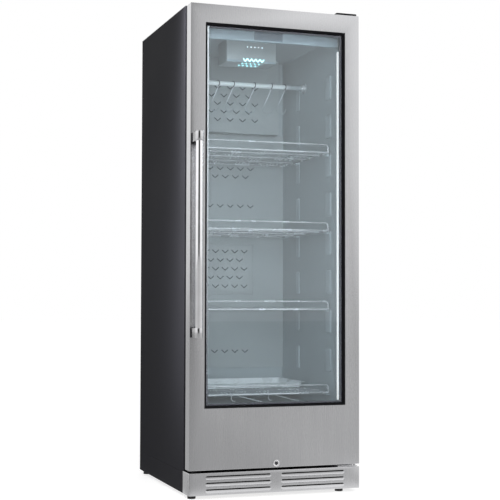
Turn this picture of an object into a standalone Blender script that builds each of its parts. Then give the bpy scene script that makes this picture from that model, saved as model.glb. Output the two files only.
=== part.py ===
"""Dry aging cabinet: a tall insulated cabinet with a glazed steel door, wire shelves and a hanging rail.

Metres, +Z up. The door faces -Y and hangs on the right. The origin is on the floor, under the middle
of the whole cabinet with its handle. Places along Y are written as depths behind the door's face.
"""

from math import cos, pi, radians, sin, sqrt, tan

import bmesh
import bpy
from mathutils import Matrix, Vector

# Overall body
WIDTH = 0.595
DOOR_THICK = 0.045
SEAL_GAP = 0.018
BODY_DEPTH = 0.595
BODY_TOP = 1.6126
SEAM_DROP = 0.003
FOOT_CLEAR = 0.012
SHEET = 0.0008
FLANGE = 0.012
APRON_LIFT = 0.0025
THIN_SHEET = 0.0008
CHASSIS_SHEET = 0.001
SIDE_WALL = 0.042
TOP_WALL = 0.057
FLOOR_HEIGHT = 0.272
FOAM_FLOOR = 0.0375
LINER_SHEET = 0.002
LINER_START = 0.104
BACK_PLAY = 0.025
SEAT = 0.0003
OVERRUN = 0.01
SINK = 0.0008
WELD_REACH = 0.000001

# Door
DOOR_LIFT = 0.0082
DOOR_DROP = 0.0032
STILE = 0.0506
TOP_RAIL = 0.0611
BOTTOM_RAIL = 0.1982
DOOR_SHEET = 0.001
BORDER = 0.006
BORDER_WALL = 0.0026
BORDER_LIP = 0.005
PANE = 0.004
PANE_AIR = 0.012
SPACER_WIDE = 0.0065
GASKET_OUT = 0.0085
GASKET_WIDE = 0.014
GASKET_NECK = 0.0035
GASKET_HEAD = 0.0055
GASKET_FOLD = 0.009
HINGE_INSET = 0.0085
HINGE_PIN = 0.003
PIN_REACH = 0.0135

# Handle and lock
HANDLE_RADIUS = 0.0113
HANDLE_OUT = 0.061
HANDLE_INSET = 0.013
HANDLE_LOW = 0.5205
HANDLE_HIGH = 1.181
COLLAR_WALL = 0.0013
COLLAR_TALL = 0.031
POST_WIDE = 0.024
EDGE_BREAK = 0.0015
LOCK_RISE = 0.0143
LOCK_RING = 0.011
LOCK_PROUD = 0.003
BARREL_RADIUS = 0.006
KEY_WIDE = 0.0018
KEY_TALL = 0.007
KEY_DEEP = 0.006
CAM_LONG = 0.028
CAM_WIDE = 0.01
CAM_THICK = 0.002
CAM_BACK = 0.0025
SNUG_SHARE = 0.9

# Kick plate
KICK_TOP = 0.084
KICK_RETURN = 0.073
LOUVRE_LONG = 0.228
LOUVRE_MIDDLE = 0.032
LOUVRE_PITCH = 0.0212
LOUVRE_TALL = 0.0105
LOUVRE_SLIT = 0.0028
LOUVRE_PROUD = 0.0042
LOUVRE_END = 0.011
LOUVRE_DROP = 0.0135
LOUVRE_ROWS = 3

# Hinge fittings
HINGE_PLATE = 0.0025
HINGE_LONG = 0.07
HINGE_BEHIND = 0.032
HINGE_MARGIN = 0.005
HINGE_AHEAD = 0.0105
BRACKET_TALL = 0.04
COVER_WALL = 0.0012
COVER_ROOM = 0.0005
COVER_TALL = 0.0076
COVER_CORNER = 0.003

# Liner walls and shelf supports
TOP_LEVEL_DROP = 0.1269
LOW_LEVEL_RISE = 0.2005
LEVELS = 8
RIB_TALL = 0.082
RIB_PROUD = 0.0025
RIB_SINK = 0.0005
FRONT_RIB = 0.048
FRONT_RIB_AT = 0.145
REAR_RIB = 0.03
REAR_RIB_BEFORE_BACK = 0.1812
LUG_LONG = 0.024
LUG_OUT = 0.0135
LUG_TALL = 0.007

# Shelves
SHELF_STEPS = (2, 4, 6)
FLOOR_SHELF_RISE = 0.0489
SHELF_FRONT = 0.1445
SHELF_BACK_GAP = 0.0302
SHELF_SIDE_GAP = 0.0055
FRAME_ROD = 0.003
GUARD_ROD = 0.0025
CROSS_ROD = 0.0025
SHELF_WIRE = 0.0015
SHELF_CORNER = 0.004
SHELF_WIRES = 17
CROSS_RODS = 2
GUARD_RISE = 0.028
GUARD_BEND = 0.012
WELD = 0.0008

# Tray
TRAY_SIDE_GAP = 0.0205
TRAY_LONG = 0.267
TRAY_BACK_GAP = 0.0332
TRAY_TALL = 0.019
TRAY_RIM = 0.008
TRAY_WALL = 0.001
TRAY_TAPER = 0.006
TRAY_CORNER = 0.02

# Hanging rail and hooks
RAIL_DEPTH = 0.4
RAIL_DROP = 0.1321
RAIL_RADIUS = 0.0075
CUP_WALL = 0.0035
CUP_LONG = 0.016
CUP_FLANGE = 0.019
CUP_FLANGE_THICK = 0.003
CUP_FLOOR = 0.004
HOOK_PLACES = (-0.082, -0.024, 0.059, 0.127, 0.176)
HOOK_TURNS = (25, 18, 5, -8, 12)
HOOK_WIRE = 0.0016
HOOK_LOOP = 0.0118
HOOK_LEAN = 0.034
HOOK_DROP = 0.083
HOOK_BELLY = 0.019
SPARE_HOOK_GAPS = (0.2675, 0.1255)
SPARE_HOOK_DEPTH = 0.415
SPARE_TILT = 7.5

# Air guides at the back
GUIDE_SHEET = 0.0012
EVAPORATOR_SIDE_GAP = 0.0355
EVAPORATOR_DEEP = 0.0502
EVAPORATOR_TALL = 0.2841
PANEL_AIR = 0.0072
PANEL_RISE = 0.113
FILTER_HALF = 0.1315
FILTER_TALL = 0.1885
FILTER_MIDDLE_SHARE = 0.4195
FILTER_PROUD = 0.005
VENT_WIDE = 0.026
VENT_RISE = 0.011
VENT_STROKE = 0.0042
DUCT_VENT_PITCH = 0.0495
DUCT_VENT_DROP = 0.0305
DUCT_VENT_START = 0.1146
DUCT_COLUMNS = 6
DUCT_ROWS = 5
WALL_VENT_PITCH = 0.0404
WALL_COLUMNS = 7
WALL_VENT_SHARES = (0.8505, 0.8156, 0.6892, 0.0677)
FILTER_ROWS = 5
FILTER_COLUMNS = 6
FILTER_VENT_PITCH = 0.038
FILTER_VENT_DROP = 0.033

# Control panel and lamps
FASCIA_DEPTH = 0.0805
FASCIA_TALL = 0.0401
FASCIA_THICK = 0.0225
FASCIA_SLOPE = 0.006
WINDOW_HALF = 0.0505
WINDOW_TALL = 0.027
WINDOW_THICK = 0.002
WINDOW_RISE = 0.005
STRIP_FRONT = 0.077
STRIP_WIDE = 0.022
STRIP_RISE = 0.029
STRIP_DROP = 0.0556
STRIP_PROUD = 0.0025
STRIP_SET = 0.002
LAMP_HALF = 0.0925
LAMP_FRONT = 0.26
LAMP_LONG = 0.1
LAMP_TALL = 0.0776
LAMP_SHEET = 0.0012
LAMP_DOTS = 8
LAMP_DOT = 0.0018
LAMP_DOT_PITCH = 0.009
LAMP_DOT_DROP = 0.0216
LAMP_SLOTS = 5
LAMP_SLOT_WIDE = 0.006
LAMP_SLOT_LONG = 0.026
LAMP_SLOT_PITCH = 0.0135
TUBE_RADIUS = 0.0075
TUBE_CAP = 0.012
TUBE_CAP_LONG = 0.0135
TUBE_DEPTH = 0.05
TUBE_DROP = 0.028

# Refrigeration
COIL_SIDE_GAP = 0.04
COIL_FAN_GAP = 0.044
COIL_BEHIND_COVER = 0.012
COIL_THICK = 0.03
COIL_RISE = 0.0285
COIL_TALL = 0.19
COIL_TUBE = 0.0045
COIL_PASSES = 6
FIN_PITCH = 0.02
FIN_DEEP = 0.004
EVAP_FAN_INSET = 0.09
EVAP_FAN_RISE = 0.1135
EVAP_FAN_RADIUS = 0.046
EVAP_FAN_BEHIND_COVER = 0.0155
FAN_HUB_SHARE = 0.32
HUB_BITE_SHARE = 0.8
BLADE_WIDE_SHARE = 1.6
FAN_BLADES = 5
BLADE_PITCH = 28
BLADE_THICK = 0.0012
FAN_DEEP = 0.012
MOTOR_LONG = 0.016
FAN_AXLE = 0.0025
CONDENSER_INSET = 0.1675
CONDENSER_HALF = 0.125
CONDENSER_DEPTH = 0.11
CONDENSER_THICK = 0.05
CONDENSER_TALL = 0.17
COND_FAN_RADIUS = 0.07
SHROUD_WALL = 0.002
SHROUD_GAP = 0.004
COMPRESSOR_INSET = 0.1575
COMPRESSOR_BEFORE_BACK = 0.198
COMPRESSOR_RADIUS = 0.078
COMPRESSOR_HEADROOM = 0.0775
COMPRESSOR_BASE = 0.012
COMPRESSOR_FOOT = 0.1
DOME_SHARE = 0.5
BASE_SHARE = 0.7
DRIP_HALF = 0.075
DRIP_TALL = 0.02
DRIP_WALL = 0.0016
INLET_INSET = 0.0975
INLET_HEIGHT = 0.15
INLET_WIDE = 0.028
INLET_TALL = 0.022
INLET_DEEP = 0.024
INLET_FLANGE = 0.006
INLET_PROUD = 0.002
SLOT_WIDE = 0.006
SLOT_LONG = 0.09
SLOT_PITCH = 0.022
COVER_SLOTS = 7
PANEL_SPLIT_LIFT = 0.007
SWAGE_WIDE = 0.024
SWAGE_PROUD = 0.0025
SWAGE_PLACES = (-0.16, 0.0, 0.16)
SWAGE_MARGIN = 0.12

# Feet
FOOT_RADIUS = 0.0135
FOOT_PAD = 0.0095
FOOT_STUD = 0.004
FOOT_STUD_LONG = 0.03
FOOT_NUT = 0.008
FOOT_BOSS = 0.009
FOOT_BOSS_TALL = 0.018
FOOT_CHAMFER = 0.0012
FOOT_LEFT_INSET = 0.0185
FOOT_RIGHT_INSET = 0.0605
FOOT_FRONT = 0.034
FOOT_BEFORE_BACK = 0.038

# Derived places
HALF = WIDTH / 2
SEAM_HEIGHT = KICK_TOP - SEAM_DROP
LOUVRE_FIRST = KICK_TOP - LOUVRE_DROP
DOOR_BOTTOM = KICK_TOP + DOOR_LIFT
DOOR_TOP = BODY_TOP - DOOR_DROP
LOCK_HEIGHT = DOOR_BOTTOM + LOCK_RISE
BODY_FRONT = DOOR_THICK + SEAL_GAP
CABINET_BACK = BODY_FRONT + BODY_DEPTH
COLLAR_RADIUS = HANDLE_RADIUS + SEAT + COLLAR_WALL
FACE_Y = (HANDLE_OUT + COLLAR_RADIUS - CABINET_BACK - SWAGE_PROUD) / 2
CAVITY_HALF = HALF - SIDE_WALL
CAVITY_TOP = BODY_TOP - TOP_WALL
CAVITY_BACK = CABINET_BACK - THIN_SHEET - BACK_PLAY - LINER_SHEET
HINGE_X = HALF - HINGE_INSET
HINGE_DEPTH = DOOR_THICK / 2
HANDLE_X = HANDLE_INSET - HALF
SHELF_HALF = CAVITY_HALF - SHELF_SIDE_GAP - FRAME_ROD
WIRE_TOP = FRAME_ROD + 2 * SHELF_WIRE - WELD
FOAM_LOW = FLOOR_HEIGHT - LINER_SHEET - FOAM_FLOOR
FLOOR_TOP = FOOT_CLEAR + SEAT + CHASSIS_SHEET
CEILING = CAVITY_TOP - SEAT
WALL_SEAT = CAVITY_BACK - SEAT
SHEET_BACK = CABINET_BACK - THIN_SHEET - SEAT
DOOR = (-HALF, HALF, DOOR_BOTTOM, DOOR_TOP)
OPENING = (STILE - HALF, HALF - STILE, DOOR_BOTTOM + BOTTOM_RAIL, DOOR_TOP - TOP_RAIL)
CAVITY = (-CAVITY_HALF, CAVITY_HALF, FLOOR_HEIGHT, CAVITY_TOP)
PANEL_SPLIT = FOAM_LOW + PANEL_SPLIT_LIFT
TOP_LEVEL = CAVITY_TOP - TOP_LEVEL_DROP
LEVEL_PITCH = (TOP_LEVEL - FLOOR_HEIGHT - LOW_LEVEL_RISE) / (LEVELS - 1)
REAR_RIB_AT = CAVITY_BACK - REAR_RIB_BEFORE_BACK
SHELF_LEVELS = (*[TOP_LEVEL - step * LEVEL_PITCH for step in SHELF_STEPS], FLOOR_HEIGHT + FLOOR_SHELF_RISE)
SHELF_BACK = CAVITY_BACK - SHELF_BACK_GAP
TRAY_HALF = CAVITY_HALF - TRAY_SIDE_GAP
TRAY_BACK = CAVITY_BACK - TRAY_BACK_GAP
TRAY_FRONT = TRAY_BACK - TRAY_LONG
RAIL_HEIGHT = CAVITY_TOP - RAIL_DROP
EVAPORATOR_LOW = CAVITY_TOP - EVAPORATOR_TALL
EVAPORATOR_HALF = CAVITY_HALF - EVAPORATOR_SIDE_GAP
EVAPORATOR_FRONT = CAVITY_BACK - EVAPORATOR_DEEP
DUCT_VENT_FIRST = CAVITY_TOP - DUCT_VENT_START
PANEL_DEPTH = CAVITY_BACK - PANEL_AIR
PANEL_LOW = FLOOR_HEIGHT + PANEL_RISE
WALL_VENT_ROWS = [PANEL_LOW + share * (EVAPORATOR_LOW - PANEL_LOW) for share in WALL_VENT_SHARES]
FILTER_MIDDLE = PANEL_LOW + FILTER_MIDDLE_SHARE * (EVAPORATOR_LOW - PANEL_LOW)
FILTER_LOW = FILTER_MIDDLE - FILTER_TALL / 2
FILTER_HIGH = FILTER_MIDDLE + FILTER_TALL / 2
FASCIA_LOW = CAVITY_TOP - FASCIA_TALL
STRIP_LOW = FLOOR_HEIGHT + STRIP_RISE
STRIP_HIGH = CAVITY_TOP - STRIP_DROP
LAMP_LOW = CAVITY_TOP - LAMP_TALL
LAMP_DOT_HEIGHT = CAVITY_TOP - LAMP_DOT_DROP
EVAP_FAN_X = EVAPORATOR_HALF - EVAP_FAN_INSET
EVAP_FAN_HEIGHT = EVAPORATOR_LOW + EVAP_FAN_RISE
EVAP_FAN_DEPTH = EVAPORATOR_FRONT + EVAP_FAN_BEHIND_COVER
COIL_LEFT = COIL_SIDE_GAP - EVAPORATOR_HALF
COIL_RIGHT = EVAP_FAN_X - EVAP_FAN_RADIUS - COIL_FAN_GAP
COIL_DEPTH = EVAPORATOR_FRONT + COIL_BEHIND_COVER
COIL_LOW = EVAPORATOR_LOW + COIL_RISE
CONDENSER_X = CONDENSER_INSET - HALF
COMPRESSOR_TALL = FOAM_LOW - COMPRESSOR_HEADROOM
COMPRESSOR_X = HALF - COMPRESSOR_INSET
COMPRESSOR_DEPTH = CABINET_BACK - COMPRESSOR_BEFORE_BACK
INLET_X = INLET_INSET - HALF
FOOT_LEFT = FOOT_LEFT_INSET - HALF
FOOT_RIGHT = HALF - FOOT_RIGHT_INSET
FOOT_BACK = CABINET_BACK - FOOT_BEFORE_BACK


def paint(name, colour, roughness, metallic=0.0, alpha=1.0):
    """A plain material with one colour and finish."""
    material = bpy.data.materials.new(name)
    material.use_nodes = True
    shader = material.node_tree.nodes["Principled BSDF"]
    shader.inputs["Base Color"].default_value = (*colour, 1.0)
    shader.inputs["Roughness"].default_value = roughness
    shader.inputs["Metallic"].default_value = metallic
    shader.inputs["Alpha"].default_value = alpha
    return material


def sketch(name, bm, weld=True):
    """Turn a bmesh into an object of the scene, with its faces pointing out."""
    if weld:
        bmesh.ops.remove_doubles(bm, verts=bm.verts, dist=WELD_REACH)
    bmesh.ops.recalc_face_normals(bm, faces=bm.faces)
    mesh = bpy.data.meshes.new(name)
    bm.to_mesh(mesh)
    bm.free()
    obj = bpy.data.objects.new(name, mesh)
    bpy.context.scene.collection.objects.link(obj)
    return obj


def carve(target, *tools, operation="DIFFERENCE"):
    """Combine the target with each tool, keep the result as its mesh and delete the tools."""
    for tool in tools:
        step = target.modifiers.new(tool.name, "BOOLEAN")
        step.operation = operation
        step.object = tool
    layers = bpy.context.evaluated_depsgraph_get()
    shape = bpy.data.meshes.new_from_object(target.evaluated_get(layers))
    target.modifiers.clear()
    target.data = shape
    for tool in tools:
        bpy.data.objects.remove(tool)
    return target


def fuse(target, *tools):
    """Join the tools to the target as one body."""
    return carve(target, *tools, operation="UNION")


def settle(obj, material, pivot=(0.0, 0.0, 0.0), smooth=None):
    """Give a finished piece its material, its origin at the pivot and its place in the cabinet."""
    obj.data.transform(Matrix.Translation(-Vector(pivot)))
    obj.location = Vector(pivot) + Vector((0.0, FACE_Y, 0.0))
    obj.data.name = obj.name
    obj.data.materials.clear()
    obj.data.materials.append(material)
    if smooth is not None:
        obj.data.shade_smooth()
        obj.data.set_sharp_from_angle(angle=radians(smooth))
    return obj


def add_box(bm, low, high):
    """Add a plain box between two corners."""
    low, high = Vector(low), Vector(high)
    size = high - low
    place = Matrix.Translation((low + high) / 2) @ Matrix.Diagonal((*size, 1.0))
    bmesh.ops.create_cube(bm, size=1.0, matrix=place)


def box(name, low, high):
    """A plain box as an object."""
    bm = bmesh.new()
    add_box(bm, low, high)
    return sketch(name, bm)


def add_prism(bm, outline, axis, start, end):
    """Extrude a flat outline along X, Y or Z. The outline's pairs follow the other two axes in order."""
    order = {"X": (2, 0, 1), "Y": (0, 2, 1), "Z": (0, 1, 2)}[axis]

    def corner(pair, height):
        trio = (pair[0], pair[1], height)
        return Vector(tuple(trio[i] for i in order))

    verts = [bm.verts.new(corner(pair, start)) for pair in outline]
    face = bm.faces.new(verts)
    grown = bmesh.ops.extrude_face_region(bm, geom=[face])["geom"]
    moved = [item for item in grown if isinstance(item, bmesh.types.BMVert)]
    bmesh.ops.translate(bm, verts=moved, vec=corner((0.0, 0.0), end - start))


def prism(name, outline, axis, start, end):
    """An extruded outline as an object."""
    bm = bmesh.new()
    add_prism(bm, outline, axis, start, end)
    return sketch(name, bm)


def rounded(x0, x1, z0, z1, radius, steps=3):
    """The outline of a rectangle with round corners."""
    centres = ((x1 - radius, z1 - radius), (x0 + radius, z1 - radius),
               (x0 + radius, z0 + radius), (x1 - radius, z0 + radius))
    points = []
    for quarter, (cx, cz) in enumerate(centres):
        for step in range(steps + 1):
            angle = (quarter + step / steps) * pi / 2
            points.append((cx + radius * cos(angle), cz + radius * sin(angle)))
    return points


def inset(rect, amount):
    """A rectangle (x0, x1, z0, z1) drawn in by an amount on every side."""
    x0, x1, z0, z1 = rect
    return (x0 + amount, x1 - amount, z0 + amount, z1 - amount)


def hoop(name, section):
    """Sweep a closed section round a rectangle. Each point of the section is a rectangle and a depth."""
    bm = bmesh.new()
    loops = []
    for (x0, x1, z0, z1), depth in section:
        corners = ((x0, z0), (x1, z0), (x1, z1), (x0, z1))
        loops.append([bm.verts.new((x, depth, z)) for x, z in corners])
    for i, loop in enumerate(loops):
        following = loops[(i + 1) % len(loops)]
        for j in range(4):
            k = (j + 1) % 4
            bm.faces.new((loop[j], loop[k], following[k], following[j]))
    return sketch(name, bm)


def add_turned(bm, profile, centre, axis="Z", steps=24):
    """Turn a profile of (radius, height) pairs round an axis through the centre."""
    turns = {"X": Matrix.Rotation(pi / 2, 4, "Y"), "Y": Matrix.Rotation(-pi / 2, 4, "X"),
             "Z": Matrix.Identity(4)}
    verts = [bm.verts.new((radius, 0.0, height)) for radius, height in profile]
    edges = [bm.edges.new(pair) for pair in zip(verts, verts[1:])]
    if profile[0][0] > 0 and profile[-1][0] > 0:
        edges.append(bm.edges.new((verts[-1], verts[0])))
    before = set(bm.verts) - set(verts)
    bmesh.ops.spin(bm, geom=verts + edges, cent=(0, 0, 0), axis=(0, 0, 1), angle=2 * pi, steps=steps,
                   use_merge=True)
    fresh = [vert for vert in bm.verts if vert not in before]
    bmesh.ops.transform(bm, matrix=Matrix.Translation(centre) @ turns[axis], verts=fresh)


def turned(name, profile, centre, axis="Z", steps=24):
    """A turned shape as an object."""
    bm = bmesh.new()
    add_turned(bm, profile, centre, axis, steps)
    return sketch(name, bm)


def disc(name, radius, start, end, centre, axis="Z", steps=24):
    """A plain cylinder between two heights along an axis."""
    return turned(name, ((0.0, start), (radius, start), (radius, end), (0.0, end)), centre, axis, steps)


def bent(corners, radius, steps=4):
    """A path through the corners with each inner corner rounded."""
    points = [Vector(corners[0])]
    for before, corner, after in zip(corners, corners[1:], corners[2:]):
        corner = Vector(corner)
        back = (Vector(before) - corner).normalized()
        ahead = (Vector(after) - corner).normalized()
        half = back.angle(ahead) / 2
        reach = radius / tan(half)
        centre = corner + (back + ahead).normalized() * (radius / sin(half))
        start = corner + back * reach - centre
        end = corner + ahead * reach - centre
        swing = start.angle(end)
        for step in range(steps + 1):
            share = step / steps
            point = (start * sin((1 - share) * swing) + end * sin(share * swing)) / sin(swing)
            points.append(centre + point)
    points.append(Vector(corners[-1]))
    return points


def add_wires(bm, paths, radius, closed=False, resolution=1):
    """Add round wires along paths of points."""
    curve = bpy.data.curves.new("wire", "CURVE")
    curve.dimensions = "3D"
    curve.bevel_depth = radius
    curve.bevel_resolution = resolution
    curve.use_fill_caps = True
    for path in paths:
        spline = curve.splines.new("POLY")
        spline.points.add(len(path) - 1)
        for point, place in zip(spline.points, path):
            point.co = (*place, 1.0)
        spline.use_cyclic_u = closed
    guide = bpy.data.objects.new("wire", curve)
    bpy.context.scene.collection.objects.link(guide)
    layers = bpy.context.evaluated_depsgraph_get()
    mesh = bpy.data.meshes.new_from_object(guide.evaluated_get(layers))
    bm.from_mesh(mesh)
    bpy.data.objects.remove(guide)
    bpy.data.curves.remove(curve)
    bpy.data.meshes.remove(mesh)


def wires(name, paths, radius, closed=False, resolution=1):
    """Round wires along paths as an object."""
    bm = bmesh.new()
    add_wires(bm, paths, radius, closed, resolution)
    return sketch(name, bm)


def chevron(x, z, wide=VENT_WIDE, rise=VENT_RISE, stroke=VENT_STROKE):
    """The outline of a plain V slot, open side up, centred on (x, z)."""
    half = wide / 2
    low = z - rise / 2
    return [(x - half, low + rise), (x, low), (x + half, low + rise),
            (x + half, low + rise + stroke), (x, low + stroke), (x - half, low + rise + stroke)]


def vent_cutter(name, places, start, end):
    """All the V slots of one sheet as one cutter."""
    bm = bmesh.new()
    for x, z in places:
        add_prism(bm, chevron(x, z), "Y", start, end)
    return sketch(name, bm)


def spread(count, pitch, middle=0.0):
    """Evenly spaced places about a middle."""
    return [middle + (i - (count - 1) / 2) * pitch for i in range(count)]


def outer_shell():
    """The black sheet over the sides and the top, folded in at the front and closed below the door."""
    x, top = HALF, BODY_TOP
    inner, roof = x - SHEET, top - SHEET
    wrap = [(-x, SEAM_HEIGHT), (-inner, SEAM_HEIGHT), (-inner, roof), (inner, roof),
            (inner, SEAM_HEIGHT), (x, SEAM_HEIGHT), (x, top), (-x, top)]
    front = BODY_FRONT + SEAT
    shell = prism("outer_shell", wrap, "Y", front, SHEET_BACK)
    outside = (-x, x, KICK_TOP + APRON_LIFT, top)
    window = (FLANGE - x, x - FLANGE, FOAM_LOW - SEAT, top - FLANGE)
    behind = front + SHEET
    fold = hoop("fold", ((outside, front), (outside, behind), (window, behind), (window, front)))
    notch = box("notch", (-x - OVERRUN, front - OVERRUN, SEAM_HEIGHT - OVERRUN),
                (x + OVERRUN, KICK_RETURN + SEAT, KICK_TOP + SEAT))
    return carve(fuse(shell, fold), notch)


def back_panel():
    """The flat sheet behind the insulation with its upright pressed swages."""
    low, high = PANEL_SPLIT + SEAT, BODY_TOP - SHEET
    sheet = box("back_panel", (SHEET - HALF, CABINET_BACK - THIN_SHEET, low),
                (HALF - SHEET, CABINET_BACK, high))
    bm = bmesh.new()
    for x in SWAGE_PLACES:
        slope = SWAGE_PROUD
        half = SWAGE_WIDE / 2
        bottom, top = low + SWAGE_MARGIN, high - SWAGE_MARGIN
        foot = CABINET_BACK - THIN_SHEET / 2
        outline = [(x - half, foot), (x + half, foot), (x + half, CABINET_BACK),
                   (x + half - slope, CABINET_BACK + SWAGE_PROUD),
                   (x - half + slope, CABINET_BACK + SWAGE_PROUD), (x - half, CABINET_BACK)]
        add_prism(bm, outline, "Z", bottom, top)
    return fuse(sheet, sketch("swages", bm))


def compartment_cover():
    """The slotted sheet over the machine compartment, with the hole for the power inlet."""
    bottom = FOOT_CLEAR + SEAT
    low, high = (SHEET - HALF, CABINET_BACK - THIN_SHEET, bottom), (HALF - SHEET, CABINET_BACK, PANEL_SPLIT)
    cover = box("compartment_cover", low, high)
    bm = bmesh.new()
    start, end = CABINET_BACK - OVERRUN, CABINET_BACK + OVERRUN
    middle = (bottom + PANEL_SPLIT) / 2
    for x in (COMPRESSOR_X, COMPRESSOR_X - SLOT_LONG - SLOT_PITCH):
        for z in spread(COVER_SLOTS, SLOT_PITCH, middle):
            ends = rounded(x - SLOT_LONG / 2, x + SLOT_LONG / 2, z - SLOT_WIDE / 2, z + SLOT_WIDE / 2,
                           SLOT_WIDE / 2, 1)
            add_prism(bm, ends, "Y", start, end)
    wide, tall = INLET_WIDE / 2 + SEAT, INLET_TALL / 2 + SEAT
    add_box(bm, (INLET_X - wide, start, INLET_HEIGHT - tall), (INLET_X + wide, end, INLET_HEIGHT + tall))
    return carve(cover, sketch("cover_cuts", bm))


def power_inlet():
    """The recessed socket that takes the power lead, with its flange outside the cover."""
    wide, tall = INLET_WIDE / 2, INLET_TALL / 2
    body = box("power_inlet", (INLET_X - wide, CABINET_BACK - INLET_DEEP, INLET_HEIGHT - tall),
               (INLET_X + wide, CABINET_BACK + INLET_PROUD, INLET_HEIGHT + tall))
    rim_x, rim_z = wide + INLET_FLANGE, tall + INLET_FLANGE
    rim = prism("rim", rounded(INLET_X - rim_x, INLET_X + rim_x, INLET_HEIGHT - rim_z, INLET_HEIGHT + rim_z,
                               INLET_FLANGE / 2), "Y", CABINET_BACK + SEAT, CABINET_BACK + INLET_PROUD)
    hollow_x, hollow_z = wide - INLET_FLANGE / 2, tall - INLET_FLANGE / 2
    socket = prism("socket", rounded(INLET_X - hollow_x, INLET_X + hollow_x, INLET_HEIGHT - hollow_z,
                                     INLET_HEIGHT + hollow_z, INLET_FLANGE / 2), "Y",
                   CABINET_BACK - INLET_DEEP + INLET_FLANGE, CABINET_BACK + OVERRUN)
    return carve(fuse(body, rim), socket)


def insulation_foam():
    """The foam between the shell and the liner."""
    side = HALF - SHEET - SEAT
    block = box("insulation_foam", (-side, LINER_START, FOAM_LOW),
                (side, SHEET_BACK, BODY_TOP - SHEET - SEAT))
    outer = inset(CAVITY, -LINER_SHEET - SEAT)
    hollow = box("hollow", (outer[0], LINER_START - OVERRUN, outer[2]),
                 (outer[1], CAVITY_BACK + LINER_SHEET + SEAT, outer[3]))
    return carve(block, hollow)


def front_frame():
    """The frame round the cabinet's mouth that the door seals on, with a recess for each light strip."""
    front, back = BODY_FRONT + SEAT, LINER_START - SEAT
    side, top = HALF - FLANGE - SEAT, BODY_TOP - FLANGE - SEAT
    outside = (-side, side, FOAM_LOW, top)
    frame = hoop("front_frame", ((outside, front), (outside, back), (CAVITY, back), (CAVITY, front)))
    bm = bmesh.new()
    for hand in (-1, 1):
        near, far = sorted((hand * (CAVITY_HALF - OVERRUN), hand * (CAVITY_HALF + STRIP_SET)))
        add_box(bm, (near, STRIP_FRONT, STRIP_LOW), (far, STRIP_FRONT + STRIP_WIDE, STRIP_HIGH))
    return carve(frame, sketch("strip_recesses", bm))


def support_levels():
    """The heights of the shelf places moulded in the liner walls."""
    return [TOP_LEVEL - step * LEVEL_PITCH for step in range(LEVELS)]


def inner_liner():
    """The one-piece inner box, open at the front, with upright ribs and lugs that the shelves rest on."""
    outer = inset(CAVITY, -LINER_SHEET)
    liner = box("inner_liner", (outer[0], LINER_START, outer[2]),
                (outer[1], CAVITY_BACK + LINER_SHEET, outer[3]))
    hollow = box("hollow", (CAVITY[0], LINER_START - OVERRUN, CAVITY[2]),
                 (CAVITY[1], CAVITY_BACK, CAVITY[3]))
    carve(liner, hollow)
    ribs = bmesh.new()
    lugs = bmesh.new()
    columns = ((FRONT_RIB_AT, FRONT_RIB), (REAR_RIB_AT, REAR_RIB))
    lug_drop = FRAME_ROD + SEAT
    for hand in (-1, 1):
        for start, wide in columns:
            for level in support_levels():
                face = rounded(start, start + wide, level - RIB_TALL, level, wide / 3, 1)
                near, far = hand * (CAVITY_HALF - RIB_PROUD), hand * (CAVITY_HALF + RIB_SINK)
                add_prism(ribs, face, "X", near, far)
            for level in SHELF_LEVELS:
                middle, top = start + wide / 2, level - lug_drop
                near, far = sorted((hand * (CAVITY_HALF - LUG_OUT), hand * (CAVITY_HALF + RIB_SINK)))
                add_box(lugs, (near, middle - LUG_LONG / 2, top - LUG_TALL),
                        (far, middle + LUG_LONG / 2, top))
    return fuse(liner, sketch("ribs", ribs), sketch("lugs", lugs))


def base_chassis():
    """The floor pan with its folded sides, and a threaded boss over each foot."""
    low, inner = FOOT_CLEAR + SEAT, HALF - CHASSIS_SHEET
    narrow, turn = HALF - DOOR_SHEET - SEAT, KICK_RETURN + SEAT
    front = DOOR_SHEET + SEAT
    floor = [(-narrow, front), (narrow, front), (narrow, turn), (HALF, turn),
             (HALF, SHEET_BACK), (-HALF, SHEET_BACK), (-HALF, turn), (-narrow, turn)]
    chassis = prism("base_chassis", floor, "Z", low, FLOOR_TOP)
    sides = bmesh.new()
    for hand in (-1, 1):
        near, far = sorted((hand * inner, hand * HALF))
        add_box(sides, (near, turn, low), (far, SHEET_BACK, SEAM_HEIGHT - SEAT))
    bosses, bores = bmesh.new(), bmesh.new()
    for x, depth in foot_places():
        add_turned(bosses, ((0.0, low), (FOOT_BOSS, low), (FOOT_BOSS, low + FOOT_BOSS_TALL),
                            (0.0, low + FOOT_BOSS_TALL)), (x, depth, 0.0), steps=10)
        bore = FOOT_STUD + SEAT
        add_turned(bores, ((0.0, 0.0), (bore, 0.0), (bore, low + FOOT_BOSS_TALL + OVERRUN),
                           (0.0, low + FOOT_BOSS_TALL + OVERRUN)), (x, depth, 0.0), steps=10)
    fuse(chassis, sketch("sides", sides), sketch("bosses", bosses))
    return carve(chassis, sketch("bores", bores))


def foot_places():
    """Where the four feet stand, as (x, depth)."""
    return [(x, depth) for depth in (FOOT_FRONT, FOOT_BACK) for x in (FOOT_LEFT, FOOT_RIGHT)]


def leveling_foot(name, x, depth):
    """A round pad with a hexagon neck and its threaded stud."""
    neck = FOOT_CLEAR - SEAT
    profile = ((0.0, 0.0), (FOOT_RADIUS - FOOT_CHAMFER, 0.0), (FOOT_RADIUS, FOOT_CHAMFER),
               (FOOT_RADIUS, FOOT_PAD - FOOT_CHAMFER), (FOOT_RADIUS - FOOT_CHAMFER, FOOT_PAD),
               (FOOT_NUT, FOOT_PAD), (FOOT_NUT, neck), (FOOT_STUD, neck),
               (FOOT_STUD, FOOT_CLEAR + FOOT_STUD_LONG), (0.0, FOOT_CLEAR + FOOT_STUD_LONG))
    return turned(name, profile, (x, depth, 0.0), steps=12)


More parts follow.
